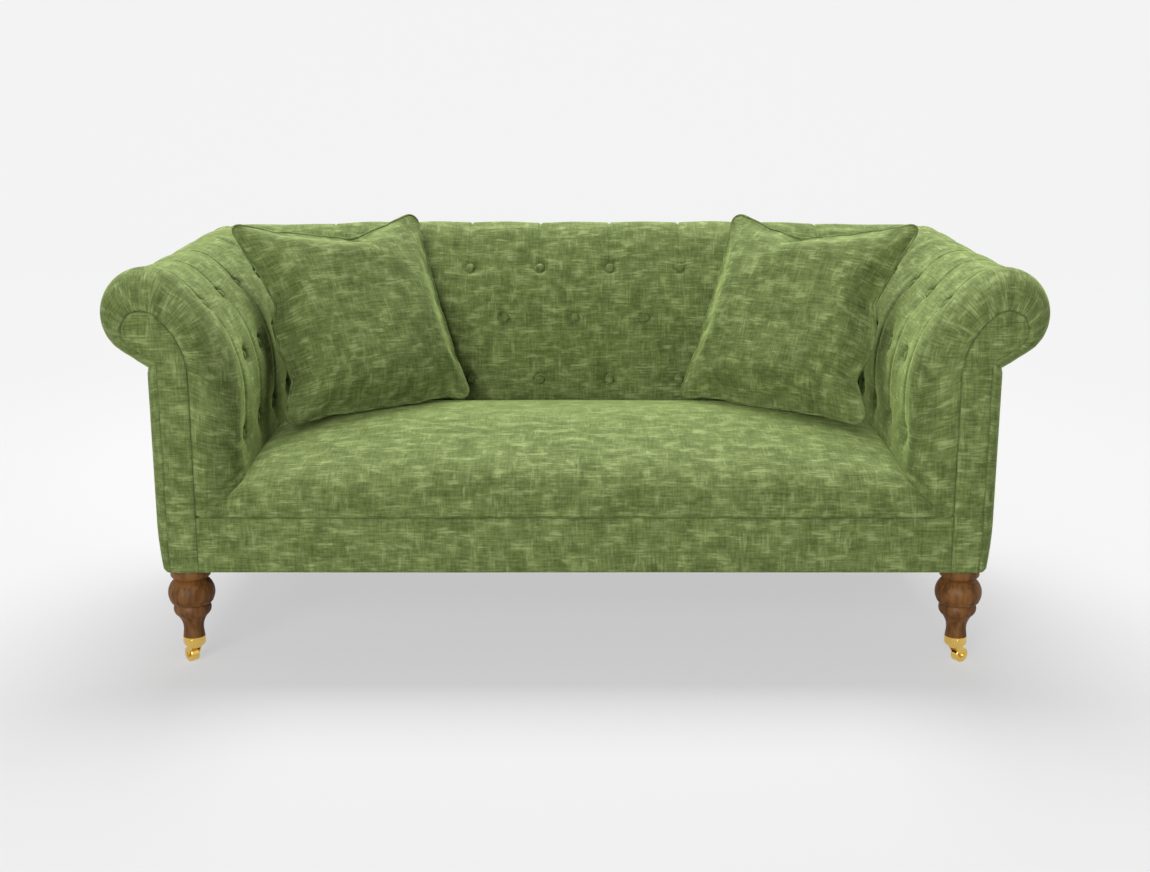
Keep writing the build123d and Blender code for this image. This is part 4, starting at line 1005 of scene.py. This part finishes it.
def facing_edges():
    """The inner and the outer edge of a facing, both from the bottom to the tip of the scroll."""
    over = np.stack(cover_line(FACED, np.linspace(0, 1, 400)), axis=1)
    lap = SIDE_END * PANEL_LAP / (under_roll(FACED)[1][1] + PANEL_LAP - BEND_Z)
    side = np.stack(side_line(FACED, np.linspace(lap, BEND_END, 60)), axis=1)[::-1]
    tip = np.argmin(np.hypot(over[:, 0] - FACE_U - FACE_R, over[:, 1] - FACE_Z - FACE_TIP * FACE_R))
    turn = np.argmax(over[:, 1] > side[-1, 1])
    half = FACE_ROWS // 2
    foot = np.array([[FACE_INNER_U, UNDER_Z]])
    inner = np.concatenate([even_line(np.concatenate([foot, over[:turn]]), half),
                            even_line(over[turn:tip], FACE_ROWS - half)])
    outer = np.concatenate([even_line(side, half), even_line(over[tip:][::-1], FACE_ROWS - half)])
    return inner, outer


def arm_facing(name, side, shift):
    """One facing panel, sunk along its seams and slightly domed."""
    inner, outer = facing_edges()
    share = np.linspace(0, 1, FACE_STEPS)[None, :, None]
    flat = inner[:, None] * (1 - share) + outer[:, None] * share
    wide = np.linalg.norm(outer - inner, axis=1)[:, None]
    edge = np.minimum(share[..., 0], 1 - share[..., 0]) * wide
    dome = FACE_DOME * ramp(edge, FACE_DOME_FROM, FACE_DOME_FULL)
    y = FRONT_Y + FACE_SUNK * hump(edge, FACE_SEAM_HALF) - dome
    points = np.stack([side * flat[..., 0], y, flat[..., 1]], axis=2)
    piece = cloth_from_grid(name, points, flat + shift, (None, 0.0, None))
    return dress(piece, COVER, "cover_fabric", name, fill=0.9)


for side, name, shift in ((-1, "arm_facing_panel_left", 9.3), (1, "arm_facing_panel_right", 11.8)):
    arm_facing(name, side, shift)

# %% [markdown]
# ## Covered buttons
#
# A covered button is a shallow dome with a rim.  One is modelled from a filled circle, extruded
# for the rim and inset three times for the dome, and then copied to the bottom of every hollow.
# A squashed ball would be simpler, but it has no rim to throw the thin shadow round a button.

# %% Buttons
BUTTON_R = 0.0098
BUTTON_RIM = 0.003
BUTTON_DOME = 0.0036
BUTTON_SUNK = TUFT_DEEP - 0.0003
BUTTON_SIDES = 20
BUTTON_RINGS = (0.30, 0.58, 0.82)
BUTTON_CUT = (0.37, 0.21)


def one_button():
    """A covered button at the origin with its face towards +Z."""
    blank_selection()
    bpy.ops.mesh.primitive_circle_add(vertices=BUTTON_SIDES, radius=BUTTON_R, fill_type="NGON")
    button = bpy.context.object
    bpy.ops.object.mode_set(mode="EDIT")
    bpy.ops.mesh.select_all(action="SELECT")
    bpy.ops.mesh.extrude_region_move(TRANSFORM_OT_translate={"value": (0, 0, BUTTON_RIM)})
    reached_in = 0.0
    reached_up = 0.0
    for share in BUTTON_RINGS:
        rise = BUTTON_DOME * math.sqrt(1 - (1 - share) ** 2)
        bpy.ops.mesh.inset(thickness=(share - reached_in) * BUTTON_R, depth=rise - reached_up)
        reached_in, reached_up = share, rise
    bpy.ops.mesh.select_all(action="SELECT")
    bpy.ops.mesh.normals_make_consistent(inside=False)
    bpy.ops.object.mode_set(mode="OBJECT")
    bpy.ops.object.shade_smooth_by_angle(angle=math.radians(60))
    set_weave(button, point_places(button)[:, :2])
    return button


def section_normal(shape, z):
    """Where a button row lies on a section, as u and z, then the normal there in u and z."""
    share = length_at(z) / SECTION_LONG
    u, height = cover_line(shape, np.array([share - 0.002, share, share + 0.002]))
    run = math.hypot(u[2] - u[0], height[2] - height[0])
    return u[1], height[1], (height[0] - height[2]) / run, (u[2] - u[0]) / run


def button_set(name, places):
    """Copies of one button joined into a piece, each at a place with a facing direction."""
    first = one_button()
    copies = [first]
    for _ in places[1:]:
        copy = first.copy()
        copy.data = first.data.copy()
        scene.collection.objects.link(copy)
        copies.append(copy)
    for index, (copy, (place, facing)) in enumerate(zip(copies, places)):
        turn = facing.to_track_quat("Z", "Y").to_matrix().to_4x4()
        copy.data.transform(Matrix.Translation(place - facing * BUTTON_SUNK) @ turn)
        shift_weave(copy, (BUTTON_CUT[0] * index, BUTTON_CUT[1] * index))
    blank_selection()
    for copy in copies:
        copy.select_set(True)
    bpy.context.view_layer.objects.active = first
    bpy.ops.object.join()
    first.name = name
    first.data.name = name
    return dress(first, COVER, "cover_fabric", name)


def arm_place(side, y, z):
    """A button's place and facing on the inside of an arm."""
    u, height, across, up = section_normal(arm_shape(y), z)
    return Vector((side * u, y, height)), Vector((side * across, 0, up))


def back_place(x, z):
    """A button's place and facing on the inside back."""
    u, height, across, up = section_normal(ROLLED, z)
    return Vector((x, u + BACK_SHIFT, height)), Vector((0, across, up))


button_set("arm_buttons", [arm_place(side, y, z) for side in (-1, 1) for y, z in ARM_SPOTS])
button_set("back_buttons", [back_place(x, z) for x, z in BACK_SPOTS])

# %% [markdown]
# ## Scatter cushions
#
# A cushion is two flat squares sewn together and stuffed.  That is also how it is made here: a
# flat double sheet is blown up by the cloth simulation, which gives the round faces.  The result is
# brought to the real size, its seam is set back near the sewn square and thinned to a knife edge.
# The notches along the seam and the creases beside them are pushed in, and a piping is laid on it.

# %% Blowing up a flat cushion
CUSHION_SIDE = 0.460
CUSHION_THICK = 0.146
CUSHION_GRID = 56
CUSHION_FILL = 0.7
FLAT_SIDE = 0.47
FLAT_THICK = 0.006
CORNER_R = 0.028
BLOW_FRAMES = 14
BLOW_PRESSURE = 4.6
PUFF_HIGH = 0.067
PUFF_ROUND = 0.42
PUFF_DRAWN = 0.055
PIPING_R = 0.0026
CUSHION_LEAN = math.radians(30)
CUSHION_YAW = math.radians(36)
CUSHION_SINK = 0.008
SEAM_STAYS = 0.7
KNIFE_EDGE = 1.5
FOLD_FADE = 0.62
Edge = namedtuple("Edge", "across up along places deep")
Crease = namedtuple("Crease", "from_across from_up to_across to_up deep")
EDGES = (Edge(0, 1, "across", (-1, -0.2, 1), (0, 0.046, 0)),
         Edge(1, 0, "up", (-1, -0.6, -0.3, -0.06, 0.16, 1), (0, 0.042, 0.026, 0.028, 0.048, 0)),
         Edge(0, -1, "across", (-1, -0.74, -0.4), (0, 0.010, 0)))
CREASES = (Crease(-0.20, 1.0, -0.30, 0.55, 0.020), Crease(1.0, 0.16, 0.62, 0.04, 0.018),
           Crease(1.0, -0.60, 0.66, -0.52, 0.016), Crease(-0.74, -1.0, -0.70, -0.74, 0.007))
CREASE_HALF = 0.013


def flat_cushion(name):
    """Two flat sheets sewn round the edge, with rounded corners and a UV map in metres."""
    blank_selection()
    bpy.ops.mesh.primitive_grid_add(x_subdivisions=CUSHION_GRID, y_subdivisions=CUSHION_GRID,
                                    size=FLAT_SIDE)
    piece = new_piece(name)
    places = point_places(piece)
    over = np.maximum(np.abs(places[:, :2]) - FLAT_SIDE / 2 + CORNER_R, 0)
    reach = np.maximum(np.hypot(over[:, 0], over[:, 1]), 1e-9)
    places[:, :2] -= np.sign(places[:, :2]) * over * (1 - over.max(axis=1) / reach)[:, None]
    piece.data.vertices.foreach_set("co", places.ravel())
    set_weave(piece, places[:, :2])
    wall = piece.modifiers.new("double", "SOLIDIFY")
    wall.thickness = FLAT_THICK
    wall.offset = 0
    apply_modifiers(piece)
    return piece


def blow_up(piece):
    """Cloth simulation with air inside and no weight."""
    cloth = piece.modifiers.new("air", "CLOTH")
    settings = cloth.settings
    settings.quality = 6
    settings.mass = 0.3
    settings.tension_stiffness = 15
    settings.compression_stiffness = 15
    settings.shear_stiffness = 5
    settings.bending_stiffness = 0.5
    settings.use_pressure = True
    settings.uniform_pressure_force = BLOW_PRESSURE
    settings.effector_weights.gravity = 0
    cloth.collision_settings.use_collision = False
    cloth.point_cache.frame_start = 1
    cloth.point_cache.frame_end = BLOW_FRAMES
    for step in range(1, BLOW_FRAMES + 1):
        scene.frame_set(step)
    apply_modifiers(piece)
    scene.frame_set(1)


def puff_by_formula(places):
    """Quick stand-in for the simulation: a pillow whose sides curve in."""
    across = np.clip(places[:, 0] * 2 / FLAT_SIDE, -1, 1)
    up = np.clip(places[:, 1] * 2 / FLAT_SIDE, -1, 1)
    face = np.sign(places[:, 2])
    loft = ((1 - across ** 2) * (1 - up ** 2)) ** PUFF_ROUND
    puffed = places.copy()
    puffed[:, 0] *= 1 - PUFF_DRAWN * (1 - up ** 2)
    puffed[:, 1] *= 1 - PUFF_DRAWN * (1 - across ** 2)
    puffed[:, 2] = face * (FLAT_THICK / 2 + PUFF_HIGH * loft)
    return puffed


def fold_seams(places, flat, outer):
    """Draws the seam in between its corners and presses a crease into the face at each notch."""
    across = flat[:, 0] * outer * 2 / FLAT_SIDE
    up = flat[:, 1] * 2 / FLAT_SIDE
    folded = places.copy()
    for edge in EDGES:
        gap = 1 - (across * edge.across + up * edge.up)
        drawn = np.interp(across if edge.along == "across" else up, edge.places, edge.deep)
        drawn = drawn * (1 - ramp(gap, 0, FOLD_FADE))
        folded[:, 0] -= drawn * edge.across * outer
        folded[:, 1] -= drawn * edge.up
    for crease in CREASES:
        run = np.array([crease.to_across - crease.from_across, crease.to_up - crease.from_up])
        share = ((across - crease.from_across) * run[0] + (up - crease.from_up) * run[1]) / (run @ run)
        share = np.clip(share, 0, 1)
        gap = np.hypot(across - crease.from_across - share * run[0], up - crease.from_up - share * run[1])
        press = crease.deep * hump(gap * CUSHION_SIDE / 2, CREASE_HALF) * (1 - share) ** 0.7
        folded[:, 2] -= np.sign(places[:, 2]) * np.minimum(press, np.abs(places[:, 2]) * 0.6)
    return folded


def stuffed_shape(blown, flat, outer):
    """The blown shape at its real size, with a seam near the sewn square, a knife edge and folds."""
    size = blown.max(axis=0) - blown.min(axis=0)
    print("blown size", [round(float(v), 3) for v in size])
    places = blown * np.array([CUSHION_SIDE, CUSHION_SIDE, CUSHION_THICK]) / size
    places[:, :2] += SEAM_STAYS * (flat[:, :2] * CUSHION_SIDE / FLAT_SIDE - places[:, :2])
    loft = np.abs(places[:, 2]) * 2 / CUSHION_THICK
    places[:, 2] *= loft ** (KNIFE_EDGE - 1)
    return fold_seams(places, flat, outer)


def sewn_edge(piece):
    """Which points of a flat cushion lie on the narrow wall round its edge."""
    edge = np.zeros(len(piece.data.vertices), dtype=bool)
    for face in piece.data.polygons:
        if abs(face.normal.z) < 0.5:
            edge[list(face.vertices)] = True
    return edge


def seam_loop(places, edge, flat):
    """Points round the seam: the middle between the two sheets at the edge of the flat shape."""
    halves = []
    for sheet in (flat[:, 2] > 0, flat[:, 2] < 0):
        chosen = edge & sheet
        order = np.argsort(np.arctan2(flat[chosen, 1], flat[chosen, 0]))
        halves.append(places[chosen][order])
    return (halves[0] + halves[1]) / 2


def cushion_matrix(side):
    """Where a cushion stands: leaning back in the corner and turned to the middle."""
    centre = (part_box("scatter_cover_right")[0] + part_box("scatter_cover_right")[1]) / 2
    stand = Matrix.Rotation(math.pi / 2, 4, "X")
    lean = Matrix.Rotation(-CUSHION_LEAN, 4, "X")
    yaw = Matrix.Rotation(-side * CUSHION_YAW, 4, "Z")
    return Matrix.Translation((side * centre.x, centre.y, centre.z - CUSHION_SINK)) @ yaw @ lean @ stand


def scatter_cushion(tail, side, shift, blown):
    """One cushion with its piped seam in its corner.  Returns the blown shape for the other."""
    piece = flat_cushion("scatter_cover_" + tail)
    flat = point_places(piece)
    edge = sewn_edge(piece)
    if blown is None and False:
        blown = puff_by_formula(flat)
    if blown is None:
        blow_up(piece)
        blown = point_places(piece)
    places = stuffed_shape(blown, flat, side)
    loop = seam_loop(places, edge, flat)
    piece.data.vertices.foreach_set("co", places.ravel())
    piece.data.transform(cushion_matrix(side))
    shift_weave(piece, (shift, shift))
    finer = piece.modifiers.new("finer", "SUBSURF")
    finer.levels = 1
    finer.render_levels = 1
    apply_modifiers(piece)
    bpy.ops.object.shade_smooth()
    dress(piece, COVER, "cover_fabric", "scatter_cover_" + tail, "scatter_filling_" + tail,
          fill=CUSHION_FILL, body="cushion_" + tail)
    piped_edge("scatter_piping_" + tail, loop, cushion_matrix(side), shift, "cushion_" + tail)
    return blown


def piped_edge(name, loop, place, shift, body):
    """A cloth-covered cord along the seam: a curve with a round bevel, made into a mesh."""
    data = bpy.data.curves.new(name, "CURVE")
    data.dimensions = "3D"
    data.bevel_depth = PIPING_R
    data.bevel_resolution = 2
    line = data.splines.new("POLY")
    line.points.add(len(loop) - 1)
    for point, at in zip(line.points, loop):
        point.co = (at[0], at[1], at[2], 1)
    line.use_cyclic_u = True
    curve = bpy.data.objects.new(name, data)
    scene.collection.objects.link(curve)
    select_only(curve)
    bpy.ops.object.convert(target="MESH")
    piece = bpy.context.object
    places = point_places(piece)
    set_weave(piece, np.stack([places[:, 0] + places[:, 1], places[:, 2]], axis=1) + shift)
    piece.data.transform(place)
    bpy.ops.object.shade_smooth()
    dress(piece, COVER, "cover_fabric", name, body=body)


first_shape = scatter_cushion("left", -1, 13.7, None)
scatter_cushion("right", 1, 16.2, first_shape)

# %% [markdown]
# ## Woods, metals and hidden cloths
#
# The legs are walnut, the frame sawn hardwood, the castors brass and the springs steel.  Their
# patterns read Object coordinates, because wood and metal are cut from a block and need no map.
# Wood is a long figure with short pores in it, and metal only varies a little with handling.

# %% Woods and metals
WALNUT_PALE = (0.185, 0.078, 0.019, 1)
WALNUT_DARK = (0.072, 0.026, 0.005, 1)
SAWN_PALE = (0.62, 0.44, 0.24, 1)
SAWN_DARK = (0.46, 0.29, 0.13, 1)


def wood(name, pale, dark, scale, coat, rough):
    """Wood with long wandering grain and short pores, from the object's own coordinates."""
    finish = Finish(name)
    place = finish.node("ShaderNodeTexCoord", output=3)
    figure = finish.stretched_noise(place, scale, 3.0, 0.6)
    pores = finish.stretched_noise(place, tuple(4 * value for value in scale))
    grain = 0.7 * finish.steps(figure, 0.32, 0.68) + 0.3 * finish.steps(pores, 0.4, 0.62)
    normal = finish.bump(pores, 0.0004, 0.25)
    return finish.set(Base_Color=finish.mix(grain, pale, dark), Roughness=rough + 0.12 * grain,
                      Normal=normal, Coat_Weight=coat, Coat_Roughness=0.12, Specular_IOR_Level=0.22)


def metal(name, pale, dark, rough):
    """Metal whose colour and polish vary slightly with handling."""
    finish = Finish(name)
    place = finish.node("ShaderNodeTexCoord", output=3)
    wear = finish.stretched_noise(place, (60.0, 60.0, 60.0))
    return finish.set(Base_Color=finish.mix(wear, pale, dark), Metallic=1.0, Roughness=rough + 0.12 * wear)


def coarse_cloth(name, pale, dark, size):
    """A plain coarse weave for hidden cloths, from the object's own coordinates."""
    finish = Finish(name)
    place = finish.node("ShaderNodeTexCoord", output=3)
    along = finish.stretched_noise(place, (size, size * 8, size * 8), 1.0)
    across = finish.stretched_noise(place, (size * 8, size, size * 8), 1.0)
    weave = 0.5 * along + 0.5 * across
    normal = finish.bump(weave, 0.001, 0.4)
    return finish.set(Base_Color=finish.mix(weave, pale, dark), Roughness=0.95, Normal=normal)


WALNUT = wood("walnut", WALNUT_PALE, WALNUT_DARK, (38.0, 38.0, 7.0), 0.03, 0.50)
SAWN_WOOD = wood("sawn_hardwood", SAWN_PALE, SAWN_DARK, (9.0, 30.0, 30.0), 0.0, 0.6)
BRASS = metal("polished_brass", (0.93, 0.65, 0.19, 1), (0.78, 0.50, 0.11, 1), 0.10)
STEEL = metal("spring_steel", (0.42, 0.42, 0.43, 1), (0.25, 0.25, 0.26, 1), 0.32)
WEBBING = coarse_cloth("jute_webbing", (0.45, 0.32, 0.17, 1), (0.25, 0.17, 0.08, 1), 90.0)
FILLING = coarse_cloth("wadding", (0.80, 0.78, 0.72, 1), (0.62, 0.60, 0.54, 1), 60.0)
BLACK_CLOTH = coarse_cloth("black_dust_cloth", (0.030, 0.030, 0.032, 1), (0.012, 0.012, 0.013, 1), 160.0)
print("hard finishes ready")

# %% [markdown]
# ## Legs
#
# The front legs are turned in walnut.  A turner cuts the profile while the wood spins, and here
# half the profile is spun once round the leg's axis, which gives cleaner rings than a stack of
# primitives.  The rear legs are plain tapered blocks that rake back a little, each from a cube.

# %% Turned front legs
LEG_R = 0.0455
LEG_FOOT = 0.0582
LEG_TALL = 0.207 - LEG_FOOT
LEG_TURNS = 64
ARC_STEPS = 10


def arc_through(start, middle, end):
    """Points on the circle through three points, from just after start to end."""
    (ax, ay), (bx, by), (cx, cy) = start, middle, end
    scale = 2 * (ax * (by - cy) + bx * (cy - ay) + cx * (ay - by))
    a2, b2, c2 = ax * ax + ay * ay, bx * bx + by * by, cx * cx + cy * cy
    ux = (a2 * (by - cy) + b2 * (cy - ay) + c2 * (ay - by)) / scale
    uy = (a2 * (cx - bx) + b2 * (ax - cx) + c2 * (bx - ax)) / scale
    radius = math.hypot(ax - ux, ay - uy)
    first = math.atan2(ay - uy, ax - ux)
    half = (math.atan2(by - uy, bx - ux) - first + math.pi) % (2 * math.pi) - math.pi
    rest = (math.atan2(cy - uy, cx - ux) - first - half + math.pi) % (2 * math.pi) - math.pi
    sweep = half + rest
    angles = [first + sweep * step / ARC_STEPS for step in range(1, ARC_STEPS + 1)]
    return [(ux + radius * math.cos(angle), uy + radius * math.sin(angle)) for angle in angles]


def leg_profile():
    """Radius and height of the turned leg from the top of its collar to its foot."""
    def at(radius, height):
        return radius * LEG_R, LEG_FOOT + LEG_TALL * height

    line = [(0.0, LEG_FOOT + LEG_TALL), at(0.84, 1.0), at(0.86, 0.985), at(0.86, 0.865)]
    line += [at(0.84, 0.85), at(0.68, 0.81)]
    line += arc_through(line[-1], at(1.0, 0.65), at(0.955, 0.53))
    line += [at(0.93, 0.525), at(0.915, 0.520), at(0.93, 0.514)]
    line += arc_through(line[-1], at(0.88, 0.485), at(0.76, 0.458))
    line += arc_through(line[-1], at(0.81, 0.385), at(0.64, 0.297))
    line += [at(0.60, 0.288), at(0.585, 0.272)]
    line += arc_through(line[-1], at(0.455, 0.18), at(0.433, 0.09))
    line += [at(0.47, 0.0), at(0.40, -0.08), (0.0, LEG_FOOT - 0.08 * LEG_TALL)]
    return line


def turned_leg(name):
    """A leg profile spun round its own axis and set under the front corner."""
    centre = (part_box(name)[0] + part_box(name)[1]) / 2
    profile = leg_profile()
    blank_selection()
    bpy.ops.mesh.primitive_circle_add(vertices=len(profile), radius=1, fill_type="NOTHING")
    piece = new_piece(name)
    points = np.array([(centre.x + radius, centre.y, z) for radius, z in profile])
    piece.data.vertices.foreach_set("co", points.ravel())
    piece.data.update()
    bpy.ops.object.mode_set(mode="EDIT")
    bpy.ops.mesh.select_all(action="SELECT")
    bpy.ops.mesh.spin(steps=LEG_TURNS, angle=2 * math.pi, center=(centre.x, centre.y, 0), axis=(0, 0, 1))
    bpy.ops.mesh.select_all(action="SELECT")
    bpy.ops.mesh.remove_doubles(threshold=0.00002)
    bpy.ops.mesh.normals_make_consistent(inside=False)
    bpy.ops.object.mode_set(mode="OBJECT")
    bpy.ops.object.shade_smooth_by_angle(angle=math.radians(38))
    return dress(piece, WALNUT, "leg_wood", name)


for name in ("front_leg_left", "front_leg_right"):
    turned_leg(name)

# %% Rear legs
REAR_TOP = 0.046
REAR_FOOT = 0.034
REAR_BEVEL = 0.003


def rear_leg(name):
    """A cube made into a raked and tapered block with softened edges."""
    low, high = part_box(name)
    middle_x = (low.x + high.x) / 2
    top_y = low.y + REAR_TOP / 2
    foot_y = high.y - REAR_FOOT / 2
    blank_selection()
    bpy.ops.mesh.primitive_cube_add(size=1)
    piece = new_piece(name)
    for vertex in piece.data.vertices:
        upper = vertex.co.z > 0
        wide = REAR_TOP if upper else REAR_FOOT
        y = top_y if upper else foot_y
        vertex.co = (middle_x + vertex.co.x * wide, y + vertex.co.y * wide, high.z if upper else low.z)
    edge = piece.modifiers.new("edges", "BEVEL")
    edge.width = REAR_BEVEL
    edge.segments = 3
    apply_modifiers(piece)
    bpy.ops.object.shade_smooth_by_angle(angle=math.radians(40))
    return dress(piece, WALNUT, "leg_wood", name)


for name in ("rear_leg_left", "rear_leg_right"):
    rear_leg(name)

# %% [markdown]
# ## Dust cover
#
# Thin black cloth is tacked under the frame to keep dust in.  It is a grid that sags a little
# between the rails, with the squares round the legs taken out, which is enough for a sheet that is
# only seen from below.

# %% Dust cover
DUST_T = 0.0008
DUST_SAG = 0.004
DUST_COLUMNS = 112
DUST_ROWS = 56
LEG_GAP = 0.004
LEGS = ("front_leg_left", "front_leg_right", "rear_leg_left", "rear_leg_right")


def under_leg(place, legs):
    """Whether a place on the sheet lies under a leg or in the small gap round it."""
    for low, high in legs:
        inside_x = low.x - LEG_GAP < place.x < high.x + LEG_GAP
        if inside_x and low.y - LEG_GAP < place.y < high.y + LEG_GAP:
            return True
    return False


def dust_cover():
    """A sagging sheet under the frame with gaps for the legs."""
    low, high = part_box("dust_cover")
    across = np.linspace(-1, 1, DUST_COLUMNS)[None, :]
    up = np.linspace(-1, 1, DUST_ROWS)[:, None]
    x = (low.x + high.x) / 2 + across * (high.x - low.x) / 2 + 0 * up
    y = (low.y + high.y) / 2 + up * (high.y - low.y) / 2 + 0 * across
    sag = DUST_SAG * (1 - across ** 4) * (1 - up ** 2)
    points = np.stack([x, y, high.z - sag + 0 * x], axis=2)
    weave = np.stack([x, y], axis=2)
    piece = cloth_from_grid("dust_cover", points, weave, (None, None, 1.0), thickness=DUST_T)
    legs = [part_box(leg) for leg in LEGS]
    select_only(piece)
    bpy.ops.object.mode_set(mode="EDIT")
    bpy.ops.mesh.select_all(action="DESELECT")
    bpy.ops.object.mode_set(mode="OBJECT")
    for face in piece.data.polygons:
        face.select = under_leg(face.center, legs)
    bpy.ops.object.mode_set(mode="EDIT")
    bpy.ops.mesh.delete(type="FACE")
    bpy.ops.object.mode_set(mode="OBJECT")
    dress(piece, BLACK_CLOTH, "dust_sheet", "dust_cover")


dust_cover()

# %% [markdown]
# ## Finishes of the frame's own pieces
#
# The pieces that are shown as they were built get a finish by their material slot: sawn wood
# for the frame, brass for the castors, steel for the springs and jute for the webbing.

# %% Finishes
SLOT_FINISH = {"frame_wood": SAWN_WOOD, "leg_wood": WALNUT, "brass": BRASS, "steel": STEEL,
               "webbing": WEBBING, "padding": FILLING, "dust_sheet": BLACK_CLOTH, "cover_fabric": COVER}
for entry in frame["record"]["subparts"]:
    node = frame["nodes"][entry["node"]]
    node.data.materials.clear()
    node.data.materials.append(SLOT_FINISH[entry["material_slot"]])
print("finishes for", len(frame["nodes"]), "solids")
